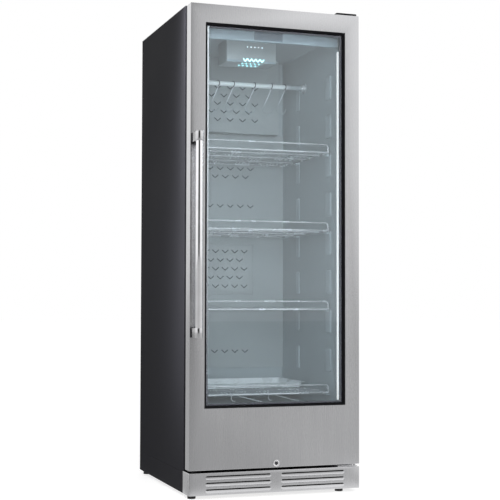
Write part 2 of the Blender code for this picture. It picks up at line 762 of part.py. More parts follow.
def louvre_places():
    """The middle and upper edge of each kick plate louvre."""
    offset = (LOUVRE_MIDDLE + LOUVRE_LONG) / 2
    heights = [LOUVRE_FIRST - row * LOUVRE_PITCH for row in range(LOUVRE_ROWS)]
    return [(side * offset, height) for side in (-1, 1) for height in heights]


def add_hood(bm, middle, top):
    """Add one pressed hood: open along its upper edge, with its ends drawn down to the sheet."""
    across, around = 8, 3
    base = DOOR_SHEET / 2
    rows = []
    for i in range(across + 1):
        place = cos(pi * i / across)
        edge = max(0.0, abs(place) * LOUVRE_LONG / 2 - (LOUVRE_LONG / 2 - LOUVRE_END))
        swell = sqrt(max(0.0, 1.0 - (edge / LOUVRE_END) ** 2))
        row = []
        for j in range(around + 1):
            turn = j / around * pi / 2
            out = base - (LOUVRE_PROUD + base) * swell * sin(turn)
            row.append(bm.verts.new((middle + place * LOUVRE_LONG / 2, out, top - LOUVRE_TALL * cos(turn))))
        rows.append(row)
    for row, following in zip(rows, rows[1:]):
        for j in range(around):
            bm.faces.new((row[j], row[j + 1], following[j + 1], following[j]))


def kick_plate():
    """The steel plinth under the door with two groups of pressed louvres and a slot for the lock's cam."""
    plate = box("kick_plate", (-HALF, 0.0, FOOT_CLEAR), (HALF, KICK_RETURN, KICK_TOP))
    inner = HALF - DOOR_SHEET
    hollow = box("hollow", (-inner, DOOR_SHEET, FOOT_CLEAR - OVERRUN),
                 (inner, KICK_RETURN + OVERRUN, KICK_TOP - DOOR_SHEET))
    slits = bmesh.new()
    for middle, top in louvre_places():
        half = LOUVRE_LONG / 2 - LOUVRE_END / 3
        outline = rounded(middle - half, middle + half, top - LOUVRE_TALL / 2, top + LOUVRE_SLIT,
                          (LOUVRE_TALL / 2 + LOUVRE_SLIT) / 2, 2)
        add_prism(slits, outline, "Y", -OVERRUN, DOOR_SHEET + OVERRUN)
    cam = DOOR_THICK + CAM_BACK
    passage = box("passage", (-CAM_WIDE, cam - CAM_THICK, KICK_TOP - OVERRUN),
                  (CAM_LONG, cam + 2 * CAM_THICK, KICK_TOP + OVERRUN))
    carve(plate, hollow, sketch("slits", slits), passage)
    hoods = bmesh.new()
    for middle, top in louvre_places():
        add_hood(hoods, middle, top)
    hood = sketch("hoods", hoods)
    wall = hood.modifiers.new("wall", "SOLIDIFY")
    wall.thickness = DOOR_SHEET
    wall.offset = 0.0
    return fuse(plate, hood)


def hinge_pin(low, high):
    """A pin on the door's axis between two heights."""
    return disc("pin", HINGE_PIN, low, high, (HINGE_X, HINGE_DEPTH, 0.0), steps=16)


def top_hinge_plate():
    """The steel plate screwed to the top of the cabinet, with the pin that the door turns on."""
    right = HALF - HINGE_MARGIN
    low = BODY_TOP + SEAT
    outline = rounded(right - HINGE_LONG, right, HINGE_DEPTH - HINGE_AHEAD, BODY_FRONT + HINGE_BEHIND,
                      COVER_CORNER)
    plate = prism("top_hinge_plate", outline, "Z", low, low + HINGE_PLATE)
    return fuse(plate, hinge_pin(DOOR_TOP - PIN_REACH, low + HINGE_PLATE / 2))


def top_hinge_cover():
    """The black cap over the top hinge plate."""
    right = HALF - HINGE_MARGIN + COVER_ROOM
    left = HALF - HINGE_MARGIN - HINGE_LONG - COVER_ROOM
    front, back = HINGE_DEPTH - HINGE_AHEAD - COVER_ROOM, BODY_FRONT + HINGE_BEHIND + COVER_ROOM
    low = BODY_TOP + SEAT
    cap = prism("top_hinge_cover", rounded(left - COVER_WALL, right + COVER_WALL, front - COVER_WALL,
                                           back + COVER_WALL, COVER_CORNER), "Z", low, low + COVER_TALL)
    room = prism("room", rounded(left, right, front, back, COVER_CORNER - COVER_WALL), "Z",
                 low - OVERRUN, low + HINGE_PLATE + SEAT)
    return carve(cap, room)


def bottom_hinge_bracket():
    """The angle bracket under the door's corner, with the lower pin."""
    low, back = KICK_TOP + SEAT, BODY_FRONT
    outline = [(HINGE_DEPTH - HINGE_AHEAD, low), (back, low), (back, low + BRACKET_TALL),
               (back - HINGE_PLATE, low + BRACKET_TALL), (back - HINGE_PLATE, low + HINGE_PLATE),
               (HINGE_DEPTH - HINGE_AHEAD, low + HINGE_PLATE)]
    right = HALF - HINGE_MARGIN + COVER_WALL
    bracket = prism("bottom_hinge_bracket", outline, "X", right - HINGE_LONG, right)
    return fuse(bracket, hinge_pin(low + HINGE_PLATE / 2, DOOR_BOTTOM + PIN_REACH))


def pin_holes(reach):
    """Cutters for the two hinge pins, reaching a given way into the door from its top and bottom."""
    bm = bmesh.new()
    radius = HINGE_PIN + SEAT
    spans = ((DOOR_TOP - reach, DOOR_TOP + OVERRUN), (DOOR_BOTTOM - OVERRUN, DOOR_BOTTOM + reach))
    for start, end in spans:
        profile = ((0.0, start), (radius, start), (radius, end), (0.0, end))
        add_turned(bm, profile, (HINGE_X, HINGE_DEPTH, 0.0), steps=16)
    return sketch("pin_holes", bm)


def lock_hole():
    """The cutter for the lock's barrel."""
    radius, end = BARREL_RADIUS + SEAT, DOOR_THICK + OVERRUN
    return disc("lock_hole", radius, -OVERRUN, end, (0.0, 0.0, LOCK_HEIGHT), "Y", 20)


def door_skin():
    """The brushed steel skin: one folded pan with the window opening, round all four edges of the door."""
    back, inner = DOOR_THICK - SEAT, inset(DOOR, DOOR_SHEET)
    skin = hoop("door_skin", ((DOOR, 0.0), (DOOR, back), (inner, back), (inner, DOOR_SHEET),
                              (OPENING, DOOR_SHEET), (OPENING, 0.0)))
    return carve(skin, pin_holes(PIN_REACH + OVERRUN), lock_hole())


def door_core():
    """The insulated core inside the skin, closed by the inner door panel."""
    front, back = DOOR_SHEET + SEAT, DOOR_THICK - SEAT
    outside = inset(DOOR, DOOR_SHEET + SEAT)
    core = hoop("door_core", ((outside, front), (outside, back), (OPENING, back), (OPENING, front)))
    return carve(core, pin_holes(PIN_REACH + SEAT), lock_hole())


def glass_depths():
    """The depths at which each glazing piece starts and ends."""
    outer = SEAT + BORDER_LIP + SEAT
    spacer = outer + PANE + SEAT
    inner = spacer + PANE_AIR + SEAT
    thick = {"outer": (outer, PANE), "spacer": (spacer, PANE_AIR), "inner": (inner, PANE)}
    return {name: (start, start + size) for name, (start, size) in thick.items()}


def glazing_frame():
    """The black frame that lines the opening and grips the glass: its lip is the border seen outside."""
    depths = glass_depths()
    outside, lip = inset(OPENING, SEAT), inset(OPENING, BORDER)
    channel = inset(OPENING, SEAT + BORDER_WALL)
    front, back = SEAT, DOOR_THICK - SEAT
    grip_front, grip_back = SEAT + BORDER_LIP, depths["inner"][1] + SEAT
    section = ((outside, front), (outside, back), (lip, back), (lip, grip_back), (channel, grip_back),
               (channel, grip_front), (lip, grip_front), (lip, front))
    return hoop("glazing_frame", section)


def pane(name, which):
    """One sheet of glass in the glazing frame."""
    start, end = glass_depths()[which]
    x0, x1, z0, z1 = inset(OPENING, 2 * SEAT + BORDER_WALL)
    return box(name, (x0, start, z0), (x1, end, z1))


def glass_spacer():
    """The pale bar that holds the two panes apart."""
    start, end = glass_depths()["spacer"]
    outside = inset(OPENING, 2 * SEAT + BORDER_WALL)
    inside = inset(outside, SPACER_WIDE)
    return hoop("glass_spacer", ((outside, start), (outside, end), (inside, end), (inside, start)))


def door_gasket():
    """The soft seal behind the door: a foot, a folded waist and the magnet's pocket."""
    outer, inner = inset(CAVITY, -GASKET_OUT - GASKET_WIDE), inset(CAVITY, -GASKET_OUT)
    waist_out, waist_in = inset(outer, GASKET_NECK), inset(inner, -GASKET_NECK)
    foot, head = DOOR_THICK + SEAT, BODY_FRONT - SEAT / 2
    fold, pocket = DOOR_THICK + GASKET_FOLD, BODY_FRONT - GASKET_HEAD
    return hoop("door_gasket", ((outer, foot), (waist_out, fold), (outer, pocket), (outer, head),
                                (inner, head), (inner, pocket), (waist_in, fold), (inner, foot)))


def handle_bar():
    """The round steel bar with broken edges at its ends."""
    edge = EDGE_BREAK
    profile = ((0.0, HANDLE_LOW), (HANDLE_RADIUS - edge, HANDLE_LOW), (HANDLE_RADIUS, HANDLE_LOW + edge),
               (HANDLE_RADIUS, HANDLE_HIGH - edge), (HANDLE_RADIUS - edge, HANDLE_HIGH), (0.0, HANDLE_HIGH))
    return turned("handle_bar", profile, (HANDLE_X, -HANDLE_OUT, 0.0), steps=24)


def handle_post(name, low):
    """A bracket that holds one end of the bar: a collar round the bar on a post that meets the door."""
    half = POST_WIDE / 2
    post = box(name, (HANDLE_X - half, -HANDLE_OUT, low), (HANDLE_X + half, -SEAT, low + COLLAR_TALL))
    centre = (HANDLE_X, -HANDLE_OUT, 0.0)
    collar = disc("collar", COLLAR_RADIUS, low, low + COLLAR_TALL, centre, steps=20)
    bore = disc("bore", HANDLE_RADIUS + SEAT, low - OVERRUN, low + COLLAR_TALL + OVERRUN, centre, steps=20)
    return carve(fuse(post, collar), bore)


def lock_ring():
    """The bright ring round the lock."""
    inner, edge = BARREL_RADIUS + SEAT, EDGE_BREAK
    profile = ((inner, -SEAT), (LOCK_RING, -SEAT), (LOCK_RING, edge - LOCK_PROUD),
               (LOCK_RING - edge, -LOCK_PROUD), (inner, -LOCK_PROUD))
    return turned("lock_ring", profile, (0.0, 0.0, LOCK_HEIGHT), "Y", 20)


def lock_cylinder():
    """The turning barrel with its keyhole, and the cam on its back that drops behind the kick plate."""
    cam_front = DOOR_THICK + CAM_BACK
    centre = (0.0, 0.0, LOCK_HEIGHT)
    end = cam_front + CAM_THICK / 2
    barrel = disc("lock_cylinder", BARREL_RADIUS, SINK - LOCK_PROUD, end, centre, "Y", 20)
    half = CAM_WIDE / 2
    tongue = rounded(-half, CAM_LONG, LOCK_HEIGHT - half, LOCK_HEIGHT + half, half * SNUG_SHARE, 3)
    cam = prism("cam", tongue, "Y", cam_front, cam_front + CAM_THICK)
    keyhole = box("keyhole", (-KEY_WIDE / 2, -OVERRUN, LOCK_HEIGHT - KEY_TALL / 2),
                  (KEY_WIDE / 2, KEY_DEEP, LOCK_HEIGHT + KEY_TALL / 2))
    return carve(fuse(barrel, cam), keyhole)


def pan(name, rect, front, back, sheet):
    """A shallow sheet metal box, open at the back."""
    x0, x1, z0, z1 = rect
    outer = box(name, (x0, front, z0), (x1, back, z1))
    x0, x1, z0, z1 = inset(rect, sheet)
    return carve(outer, box("hollow", (x0, front + sheet, z0), (x1, back + OVERRUN, z1)))


def evaporator_cover():
    """The sheet metal housing over the evaporator, with staggered rows of V slots."""
    rect = (-EVAPORATOR_HALF, EVAPORATOR_HALF, EVAPORATOR_LOW, CEILING)
    cover = pan("evaporator_cover", rect, EVAPORATOR_FRONT, WALL_SEAT, GUIDE_SHEET)
    places = []
    for row in range(DUCT_ROWS):
        count = DUCT_COLUMNS - row % 2
        height = DUCT_VENT_FIRST - row * DUCT_VENT_DROP
        places += [(x, height) for x in spread(count, DUCT_VENT_PITCH)]
    cutter = vent_cutter("vents", places, EVAPORATOR_FRONT - OVERRUN, EVAPORATOR_FRONT + OVERRUN)
    return carve(cover, cutter)


def rear_air_panel():
    """The panel in front of the back wall that guides the cold air down, with its rows of V slots."""
    side = CAVITY_HALF - 2 * SEAT
    rect = (-side, side, PANEL_LOW, EVAPORATOR_LOW - SEAT)
    panel = pan("rear_air_panel", rect, PANEL_DEPTH, WALL_SEAT, GUIDE_SHEET)
    places = []
    for row, height in enumerate(WALL_VENT_ROWS):
        places += [(x, height) for x in spread(WALL_COLUMNS - row % 2, WALL_VENT_PITCH)]
    reach = WALL_SEAT - PANEL_DEPTH - SEAT
    return carve(panel, vent_cutter("vents", places, PANEL_DEPTH - OVERRUN, PANEL_DEPTH + reach))


def filter_cover():
    """The raised cover of the air filter, with staggered rows of V slots."""
    rect = (-FILTER_HALF, FILTER_HALF, FILTER_LOW, FILTER_HIGH)
    front, back = PANEL_DEPTH - SEAT - FILTER_PROUD, PANEL_DEPTH - SEAT
    cover = pan("filter_cover", rect, front, back, GUIDE_SHEET)
    places = []
    for row, height in enumerate(spread(FILTER_ROWS, FILTER_VENT_DROP, FILTER_MIDDLE)):
        places += [(x, height) for x in spread(FILTER_COLUMNS - row % 2, FILTER_VENT_PITCH)]
    return carve(cover, vent_cutter("vents", places, front - OVERRUN, back - SEAT))


def fascia_depth(height):
    """How deep the sloping face of the control panel lies at a height."""
    return FASCIA_DEPTH + FASCIA_SLOPE * (CEILING - height) / (CEILING - FASCIA_LOW)


def window_outline(clearance, proud):
    """The display window's section on the sloping face, as (depth, height) pairs."""
    low, high = FASCIA_LOW + WINDOW_RISE - clearance, FASCIA_LOW + WINDOW_RISE + WINDOW_TALL + clearance
    back = WINDOW_THICK - SEAT + clearance
    return [(fascia_depth(low) - proud, low), (fascia_depth(low) + back, low),
            (fascia_depth(high) + back, high), (fascia_depth(high) - proud, high)]


def control_panel():
    """The pale band across the top of the cabinet that carries the display."""
    back = FASCIA_DEPTH + FASCIA_THICK
    side = CAVITY_HALF - SEAT
    outline = [(fascia_depth(FASCIA_LOW), FASCIA_LOW), (back, FASCIA_LOW), (back, CEILING),
               (FASCIA_DEPTH, CEILING)]
    panel = prism("control_panel", outline, "X", -side, side)
    half = WINDOW_HALF + SEAT
    return carve(panel, prism("recess", window_outline(SEAT, OVERRUN), "X", -half, half))


def display_window():
    """The dark window of the display, set in the control panel."""
    return prism("display_window", window_outline(0.0, SEAT), "X", -WINDOW_HALF, WINDOW_HALF)


def light_strip(name, hand):
    """A long light behind a rounded diffuser, set in the side of the front frame."""
    base, front = CAVITY_HALF + STRIP_SET - SEAT, CAVITY_HALF - STRIP_PROUD
    start, end = STRIP_FRONT + SEAT, STRIP_FRONT + STRIP_WIDE - SEAT
    edge = STRIP_PROUD
    corners = ((base, start), (base, end), (front + edge, end), (front, end - edge),
               (front, start + edge), (front + edge, start))
    return prism(name, [(hand * x, y) for x, y in corners], "Z", STRIP_LOW + SEAT, STRIP_HIGH - SEAT)


def lamp_housing():
    """The sheet metal box under the ceiling for the lamp, with small holes in front and slots below."""
    low, high = (-LAMP_HALF, LAMP_FRONT, LAMP_LOW), (LAMP_HALF, LAMP_FRONT + LAMP_LONG, CEILING)
    housing = box("lamp_housing", low, high)
    sheet = Vector((LAMP_SHEET, LAMP_SHEET, LAMP_SHEET))
    room_high = Vector(high) - sheet
    room_high.z = CEILING + OVERRUN
    room = box("room", Vector(low) + sheet, room_high)
    cuts = bmesh.new()
    for x in spread(LAMP_DOTS, LAMP_DOT_PITCH):
        add_turned(cuts, ((0.0, -OVERRUN), (LAMP_DOT, -OVERRUN), (LAMP_DOT, OVERRUN), (0.0, OVERRUN)),
                   (x, LAMP_FRONT, LAMP_DOT_HEIGHT), "Y", 6)
    for x in spread(LAMP_SLOTS, LAMP_SLOT_PITCH):
        for depth in spread(2, LAMP_SLOT_LONG + LAMP_SLOT_WIDE, LAMP_FRONT + LAMP_LONG / 2):
            outline = rounded(x - LAMP_SLOT_WIDE / 2, x + LAMP_SLOT_WIDE / 2, depth - LAMP_SLOT_LONG / 2,
                              depth + LAMP_SLOT_LONG / 2, LAMP_SLOT_WIDE / 2, 1)
            add_prism(cuts, outline, "Z", LAMP_LOW - OVERRUN, LAMP_LOW + OVERRUN)
    return carve(housing, room, sketch("cuts", cuts))


def air_lamp():
    """The tube lamp across the lamp housing, with a wider cap at each end."""
    end = LAMP_HALF - LAMP_SHEET - SEAT
    cap = end - TUBE_CAP_LONG
    profile = ((0.0, -end), (TUBE_CAP, -end), (TUBE_CAP, -cap), (TUBE_RADIUS, -cap),
               (TUBE_RADIUS, cap), (TUBE_CAP, cap), (TUBE_CAP, end), (0.0, end))
    return turned("air_lamp", profile, (0.0, LAMP_FRONT + TUBE_DEPTH, LAMP_LOW + TUBE_DROP), "X", 12)


def rail_bracket(name, hand):
    """The cup on a side wall that takes one end of the hanging rail."""
    wall, bore, cup = CAVITY_HALF - SEAT, RAIL_RADIUS + SEAT, RAIL_RADIUS + SEAT + CUP_WALL
    heights = ((0.0, wall), (CUP_FLANGE, wall), (CUP_FLANGE, wall - CUP_FLANGE_THICK),
               (cup, wall - CUP_FLANGE_THICK), (cup, wall - CUP_LONG), (bore, wall - CUP_LONG),
               (bore, wall - CUP_FLOOR), (0.0, wall - CUP_FLOOR))
    profile = [(radius, hand * height) for radius, height in heights]
    return turned(name, profile, (0.0, RAIL_DEPTH, RAIL_HEIGHT), "X", 14)


def hanging_rail():
    """The round steel rail that the hooks hang on."""
    end = CAVITY_HALF - SEAT - CUP_FLOOR - SEAT
    return disc("hanging_rail", RAIL_RADIUS, -end, end, (0.0, RAIL_DEPTH, RAIL_HEIGHT), "X", 20)


def hook_path():
    """The hook's wire about the rail's axis: a loop over the rail, a leaning shank and a sideways belly."""
    stride = radians(205) / 7
    drop = RAIL_RADIUS + SEAT + HOOK_WIRE - HOOK_LOOP * cos(stride / 2)
    path = []
    for step in range(8):
        angle = radians(-25) + step * stride
        path.append((0.0, HOOK_LOOP * cos(angle), drop + HOOK_LOOP * sin(angle)))
    for step in range(7):
        angle = pi + step / 6 * radians(190)
        x = HOOK_BELLY - HOOK_LEAN + HOOK_BELLY * cos(angle)
        path.append((x, 0.0, HOOK_BELLY * sin(angle) - HOOK_DROP))
    return path


def hook_mesh():
    """The mesh that all the hooks share, with the rail's axis at its origin."""
    hook = wires("hook", [hook_path()], HOOK_WIRE)
    mesh = hook.data
    bpy.data.objects.remove(hook)
    return mesh


def place_hook(name, mesh, material, place, turn):
    """Hang one hook, turned a little about its own height, or lay one down."""
    hook = bpy.data.objects.new(name, mesh.copy())
    bpy.context.scene.collection.objects.link(hook)
    hook.data.transform(turn)
    settle(hook, material, smooth=60)
    hook.location = Vector(place) + Vector((0.0, FACE_Y, 0.0))
    return hook


def lay_down(hook, floor):
    """Lower a hook until its lowest point is just clear of the floor."""
    lowest = min(vert.co.z for vert in hook.data.vertices)
    hook.location.z = floor + SEAT - lowest


def shelf_mesh():
    """The wire shelf about its own level: frame rod, cross rods, wires welded on top and a front guard."""
    depth = SHELF_BACK - SHELF_FRONT
    outline = rounded(-SHELF_HALF, SHELF_HALF, 0.0, depth, SHELF_CORNER, 2)
    shelf = wires("shelf", [[(x, y, 0.0) for x, y in outline]], FRAME_ROD, closed=True)
    foot = SHELF_HALF - SHELF_CORNER
    corners = ((-foot, 0.0, 0.0), (-foot, 0.0, GUARD_RISE), (foot, 0.0, GUARD_RISE), (foot, 0.0, 0.0))
    guard = wires("guard", [bent(corners, GUARD_BEND)], GUARD_ROD)
    cross_drop = FRAME_ROD - WELD - SEAT - CROSS_ROD
    pitch = depth / (CROSS_RODS + 1)
    cross = [[(-SHELF_HALF, i * pitch, cross_drop), (SHELF_HALF, i * pitch, cross_drop)]
             for i in range(1, CROSS_RODS + 1)]
    height = FRAME_ROD + SHELF_WIRE - WELD
    wire_pitch = 2 * (foot - GUARD_ROD - CROSS_ROD - SHELF_WIRE) / (SHELF_WIRES - 1)
    grid = [[(x, -SHELF_WIRE, height), (x, depth + SHELF_WIRE, height)]
            for x in spread(SHELF_WIRES, wire_pitch)]
    fuse(shelf, guard, wires("cross", cross, CROSS_ROD), wires("grid", grid, SHELF_WIRE, resolution=0))
    mesh = shelf.data
    bpy.data.objects.remove(shelf)
    return mesh


def salt_tray():
    """The shallow pressed tray with its turned-out rim."""
    low = SHELF_LEVELS[-1] + WIRE_TOP + SEAT
    high = low + TRAY_TALL
    foot = TRAY_RIM + TRAY_TAPER
    shapes = ((foot, low), (TRAY_RIM, high - TRAY_WALL), (0.0, high - TRAY_WALL), (0.0, high),
              (TRAY_RIM + TRAY_WALL, high), (foot + TRAY_WALL, low + TRAY_WALL))
    bm = bmesh.new()
    loops = []
    for amount, height in shapes:
        outline = rounded(amount - TRAY_HALF, TRAY_HALF - amount, TRAY_FRONT + amount, TRAY_BACK - amount,
                          TRAY_CORNER - amount / 2, 3)
        loops.append([bm.verts.new((x, y, height)) for x, y in outline])
    for loop, following in zip(loops, loops[1:]):
        for j in range(len(loop)):
            k = (j + 1) % len(loop)
            bm.faces.new((loop[j], loop[k], following[k], following[j]))
    bm.faces.new(loops[0])
    bm.faces.new(loops[-1])
    return sketch("salt_tray", bm)


def finned_coil(name, middle, half, front, thick, low, tall, back):
    """A block of fins with tubes that turn back at both ends, between two end plates."""
    count = int((2 * half + WELD_REACH) / FIN_PITCH)
    gap = FIN_PITCH / 2
    outline = []
    for i in range(count):
        x = middle - half + i * FIN_PITCH
        outline += [(x, front), (x + gap, front), (x + gap, front + FIN_DEEP),
                    (x + FIN_PITCH, front + FIN_DEEP)]
    right = middle - half + count * FIN_PITCH
    outline += [(right, front), (right + gap, front), (right + gap, front + thick)]
    for i in range(count, 0, -1):
        x = middle - half + i * FIN_PITCH
        outline += [(x, front + thick), (x, front + thick - FIN_DEEP), (x - gap, front + thick - FIN_DEEP),
                    (x - gap, front + thick)]
    outline.append((middle - half, front + thick))
    block = prism(name, outline, "Z", low, low + tall)
    plates = bmesh.new()
    for x in (middle - half - GUIDE_SHEET, right):
        add_box(plates, (x, front, low), (x + gap, back, low + tall))
    pitch = tall / COIL_PASSES
    bends = []
    centre = front + thick / 2
    for i in range(COIL_PASSES - 1):
        side, base = (1, right) if i % 2 == 0 else (-1, middle - half)
        z = low + pitch * (i + 1)
        arc = []
        for step in range(5):
            turn = step / 4 * pi
            arc.append((base + side * (gap + pitch / 2 * sin(turn)), centre, z - pitch / 2 * cos(turn)))
        first, last = (base, centre, z - pitch / 2), (base, centre, z + pitch / 2)
        bends.append([first, *arc, last])
    return fuse(block, sketch("plates", plates), wires("bends", bends, COIL_TUBE, resolution=0))


def fan_frame(name, x, height, radius, front, back, bottom):
    """A ring with struts that carry the motor and its axle, seated at the back or on the floor below."""
    wall, centre = SHROUD_WALL, (x, 0.0, height)
    inner = radius + SHROUD_GAP
    section = ((inner, front), (inner + wall, front), (inner + wall, back), (inner, back))
    ring = turned(name, section, centre, "Y", 20)
    hub = radius * FAN_HUB_SHARE
    tip = front + SHROUD_WALL + SEAT
    profile = ((0.0, tip), (FAN_AXLE, tip), (FAN_AXLE, back - MOTOR_LONG), (hub, back - MOTOR_LONG),
               (hub, back), (0.0, back))
    motor = turned("motor", profile, centre, "Y", 12)
    struts = bmesh.new()
    for index in range(3):
        turn = Matrix.Translation(centre) @ Matrix.Rotation(index * 2 * pi / 3 + pi / 6, 4, "Y")
        strut = bmesh.ops.create_cube(struts, size=1.0)["verts"]
        long = inner + wall / 2 - hub / 2
        seat = Matrix.Translation(((hub + long) / 2, back - wall, 0.0))
        size = Matrix.Diagonal((long, 2 * wall, 2 * wall, 1))
        bmesh.ops.transform(struts, matrix=turn @ seat @ size, verts=strut)
    tools = [motor, sketch("struts", struts)]
    if bottom is not None:
        half = inner + wall
        low, high = (x - half / 2, front, bottom), (x + half / 2, back, height - inner - wall / 2)
        tools.append(box("stand", low, high))
    return fuse(ring, *tools)


def fan_wheel(name, x, height, radius, front):
    """The turning wheel of a fan: a hub with a blind bore and pitched blades."""
    hub, bore, centre = radius * FAN_HUB_SHARE, FAN_AXLE + SEAT, (x, 0.0, height)
    back = front + FAN_DEEP
    end = front + SHROUD_WALL
    profile = ((0.0, front), (hub, front), (hub, back), (bore, back), (bore, end), (0.0, end))
    wheel = turned(name, profile, centre, "Y", 12)
    blades = bmesh.new()
    for index in range(FAN_BLADES):
        long, wide = radius - hub * HUB_BITE_SHARE, FAN_DEEP
        blade = bmesh.ops.create_cube(blades, size=1.0)["verts"]
        shape = (Matrix.Translation(centre) @ Matrix.Rotation(index * 2 * pi / FAN_BLADES, 4, "Y")
                 @ Matrix.Translation((radius - long / 2, (front + back) / 2, 0.0))
                 @ Matrix.Rotation(radians(BLADE_PITCH), 4, "X")
                 @ Matrix.Diagonal((long, BLADE_THICK, wide * BLADE_WIDE_SHARE, 1)))
        bmesh.ops.transform(blades, matrix=shape, verts=blade)
    return fuse(wheel, sketch("blades", blades))


def compressor():
    """The sealed compressor: a domed can on a base plate with four rubber feet."""
    radius, base = COMPRESSOR_RADIUS, FLOOR_TOP + SEAT
    low, high = base + COMPRESSOR_BASE, base + COMPRESSOR_TALL
    shoulder = radius * DOME_SHARE
    dome = []
    for step in range(5):
        turn = step / 4 * pi / 2
        dome.append((radius - shoulder * (1 - cos(turn)), high - shoulder * (1 - sin(turn))))
    seam, belt = low + (high - low) / 2, radius + EDGE_BREAK
    under, over = seam - EDGE_BREAK, seam + EDGE_BREAK
    profile = [(0.0, low - HINGE_PLATE / 2), (radius, low - HINGE_PLATE / 2), (radius, under), (belt, under),
               (belt, over), (radius, over), *dome, (0.0, high)]
    can = turned("can", profile, (COMPRESSOR_X, COMPRESSOR_DEPTH, 0.0), steps=20)
    half, side = COMPRESSOR_FOOT, COMPRESSOR_FOOT * BASE_SHARE
    outline = rounded(COMPRESSOR_X - half, COMPRESSOR_X + half, COMPRESSOR_DEPTH - side,
                      COMPRESSOR_DEPTH + side, COMPRESSOR_BASE, 2)
    plate = prism("compressor", outline, "Z", low - HINGE_PLATE, low)
    feet = bmesh.new()
    for x in spread(2, 2 * (half - COMPRESSOR_BASE), COMPRESSOR_X):
        for depth in spread(2, 2 * (side - COMPRESSOR_BASE), COMPRESSOR_DEPTH):
            foot = COMPRESSOR_BASE * BASE_SHARE
            profile = ((0.0, base), (foot, base), (foot, low - SINK), (0.0, low - SINK))
            add_turned(feet, profile, (x, depth, 0.0), steps=8)
    return fuse(plate, can, sketch("feet", feet))


def drip_tray():
    """The open tray on the compressor where the melt water dries up."""
    low = FLOOR_TOP + SEAT + COMPRESSOR_TALL + SEAT

    def slab(name, half, start, end):
        outline = rounded(COMPRESSOR_X - half, COMPRESSOR_X + half, COMPRESSOR_DEPTH - half,
                          COMPRESSOR_DEPTH + half, half / 4)
        return prism(name, outline, "Z", start, end)

    tray = slab("drip_tray", DRIP_HALF, low, low + DRIP_TALL)
    return carve(tray, slab("hollow", DRIP_HALF - DRIP_WALL, low + DRIP_WALL, low + DRIP_TALL + OVERRUN))


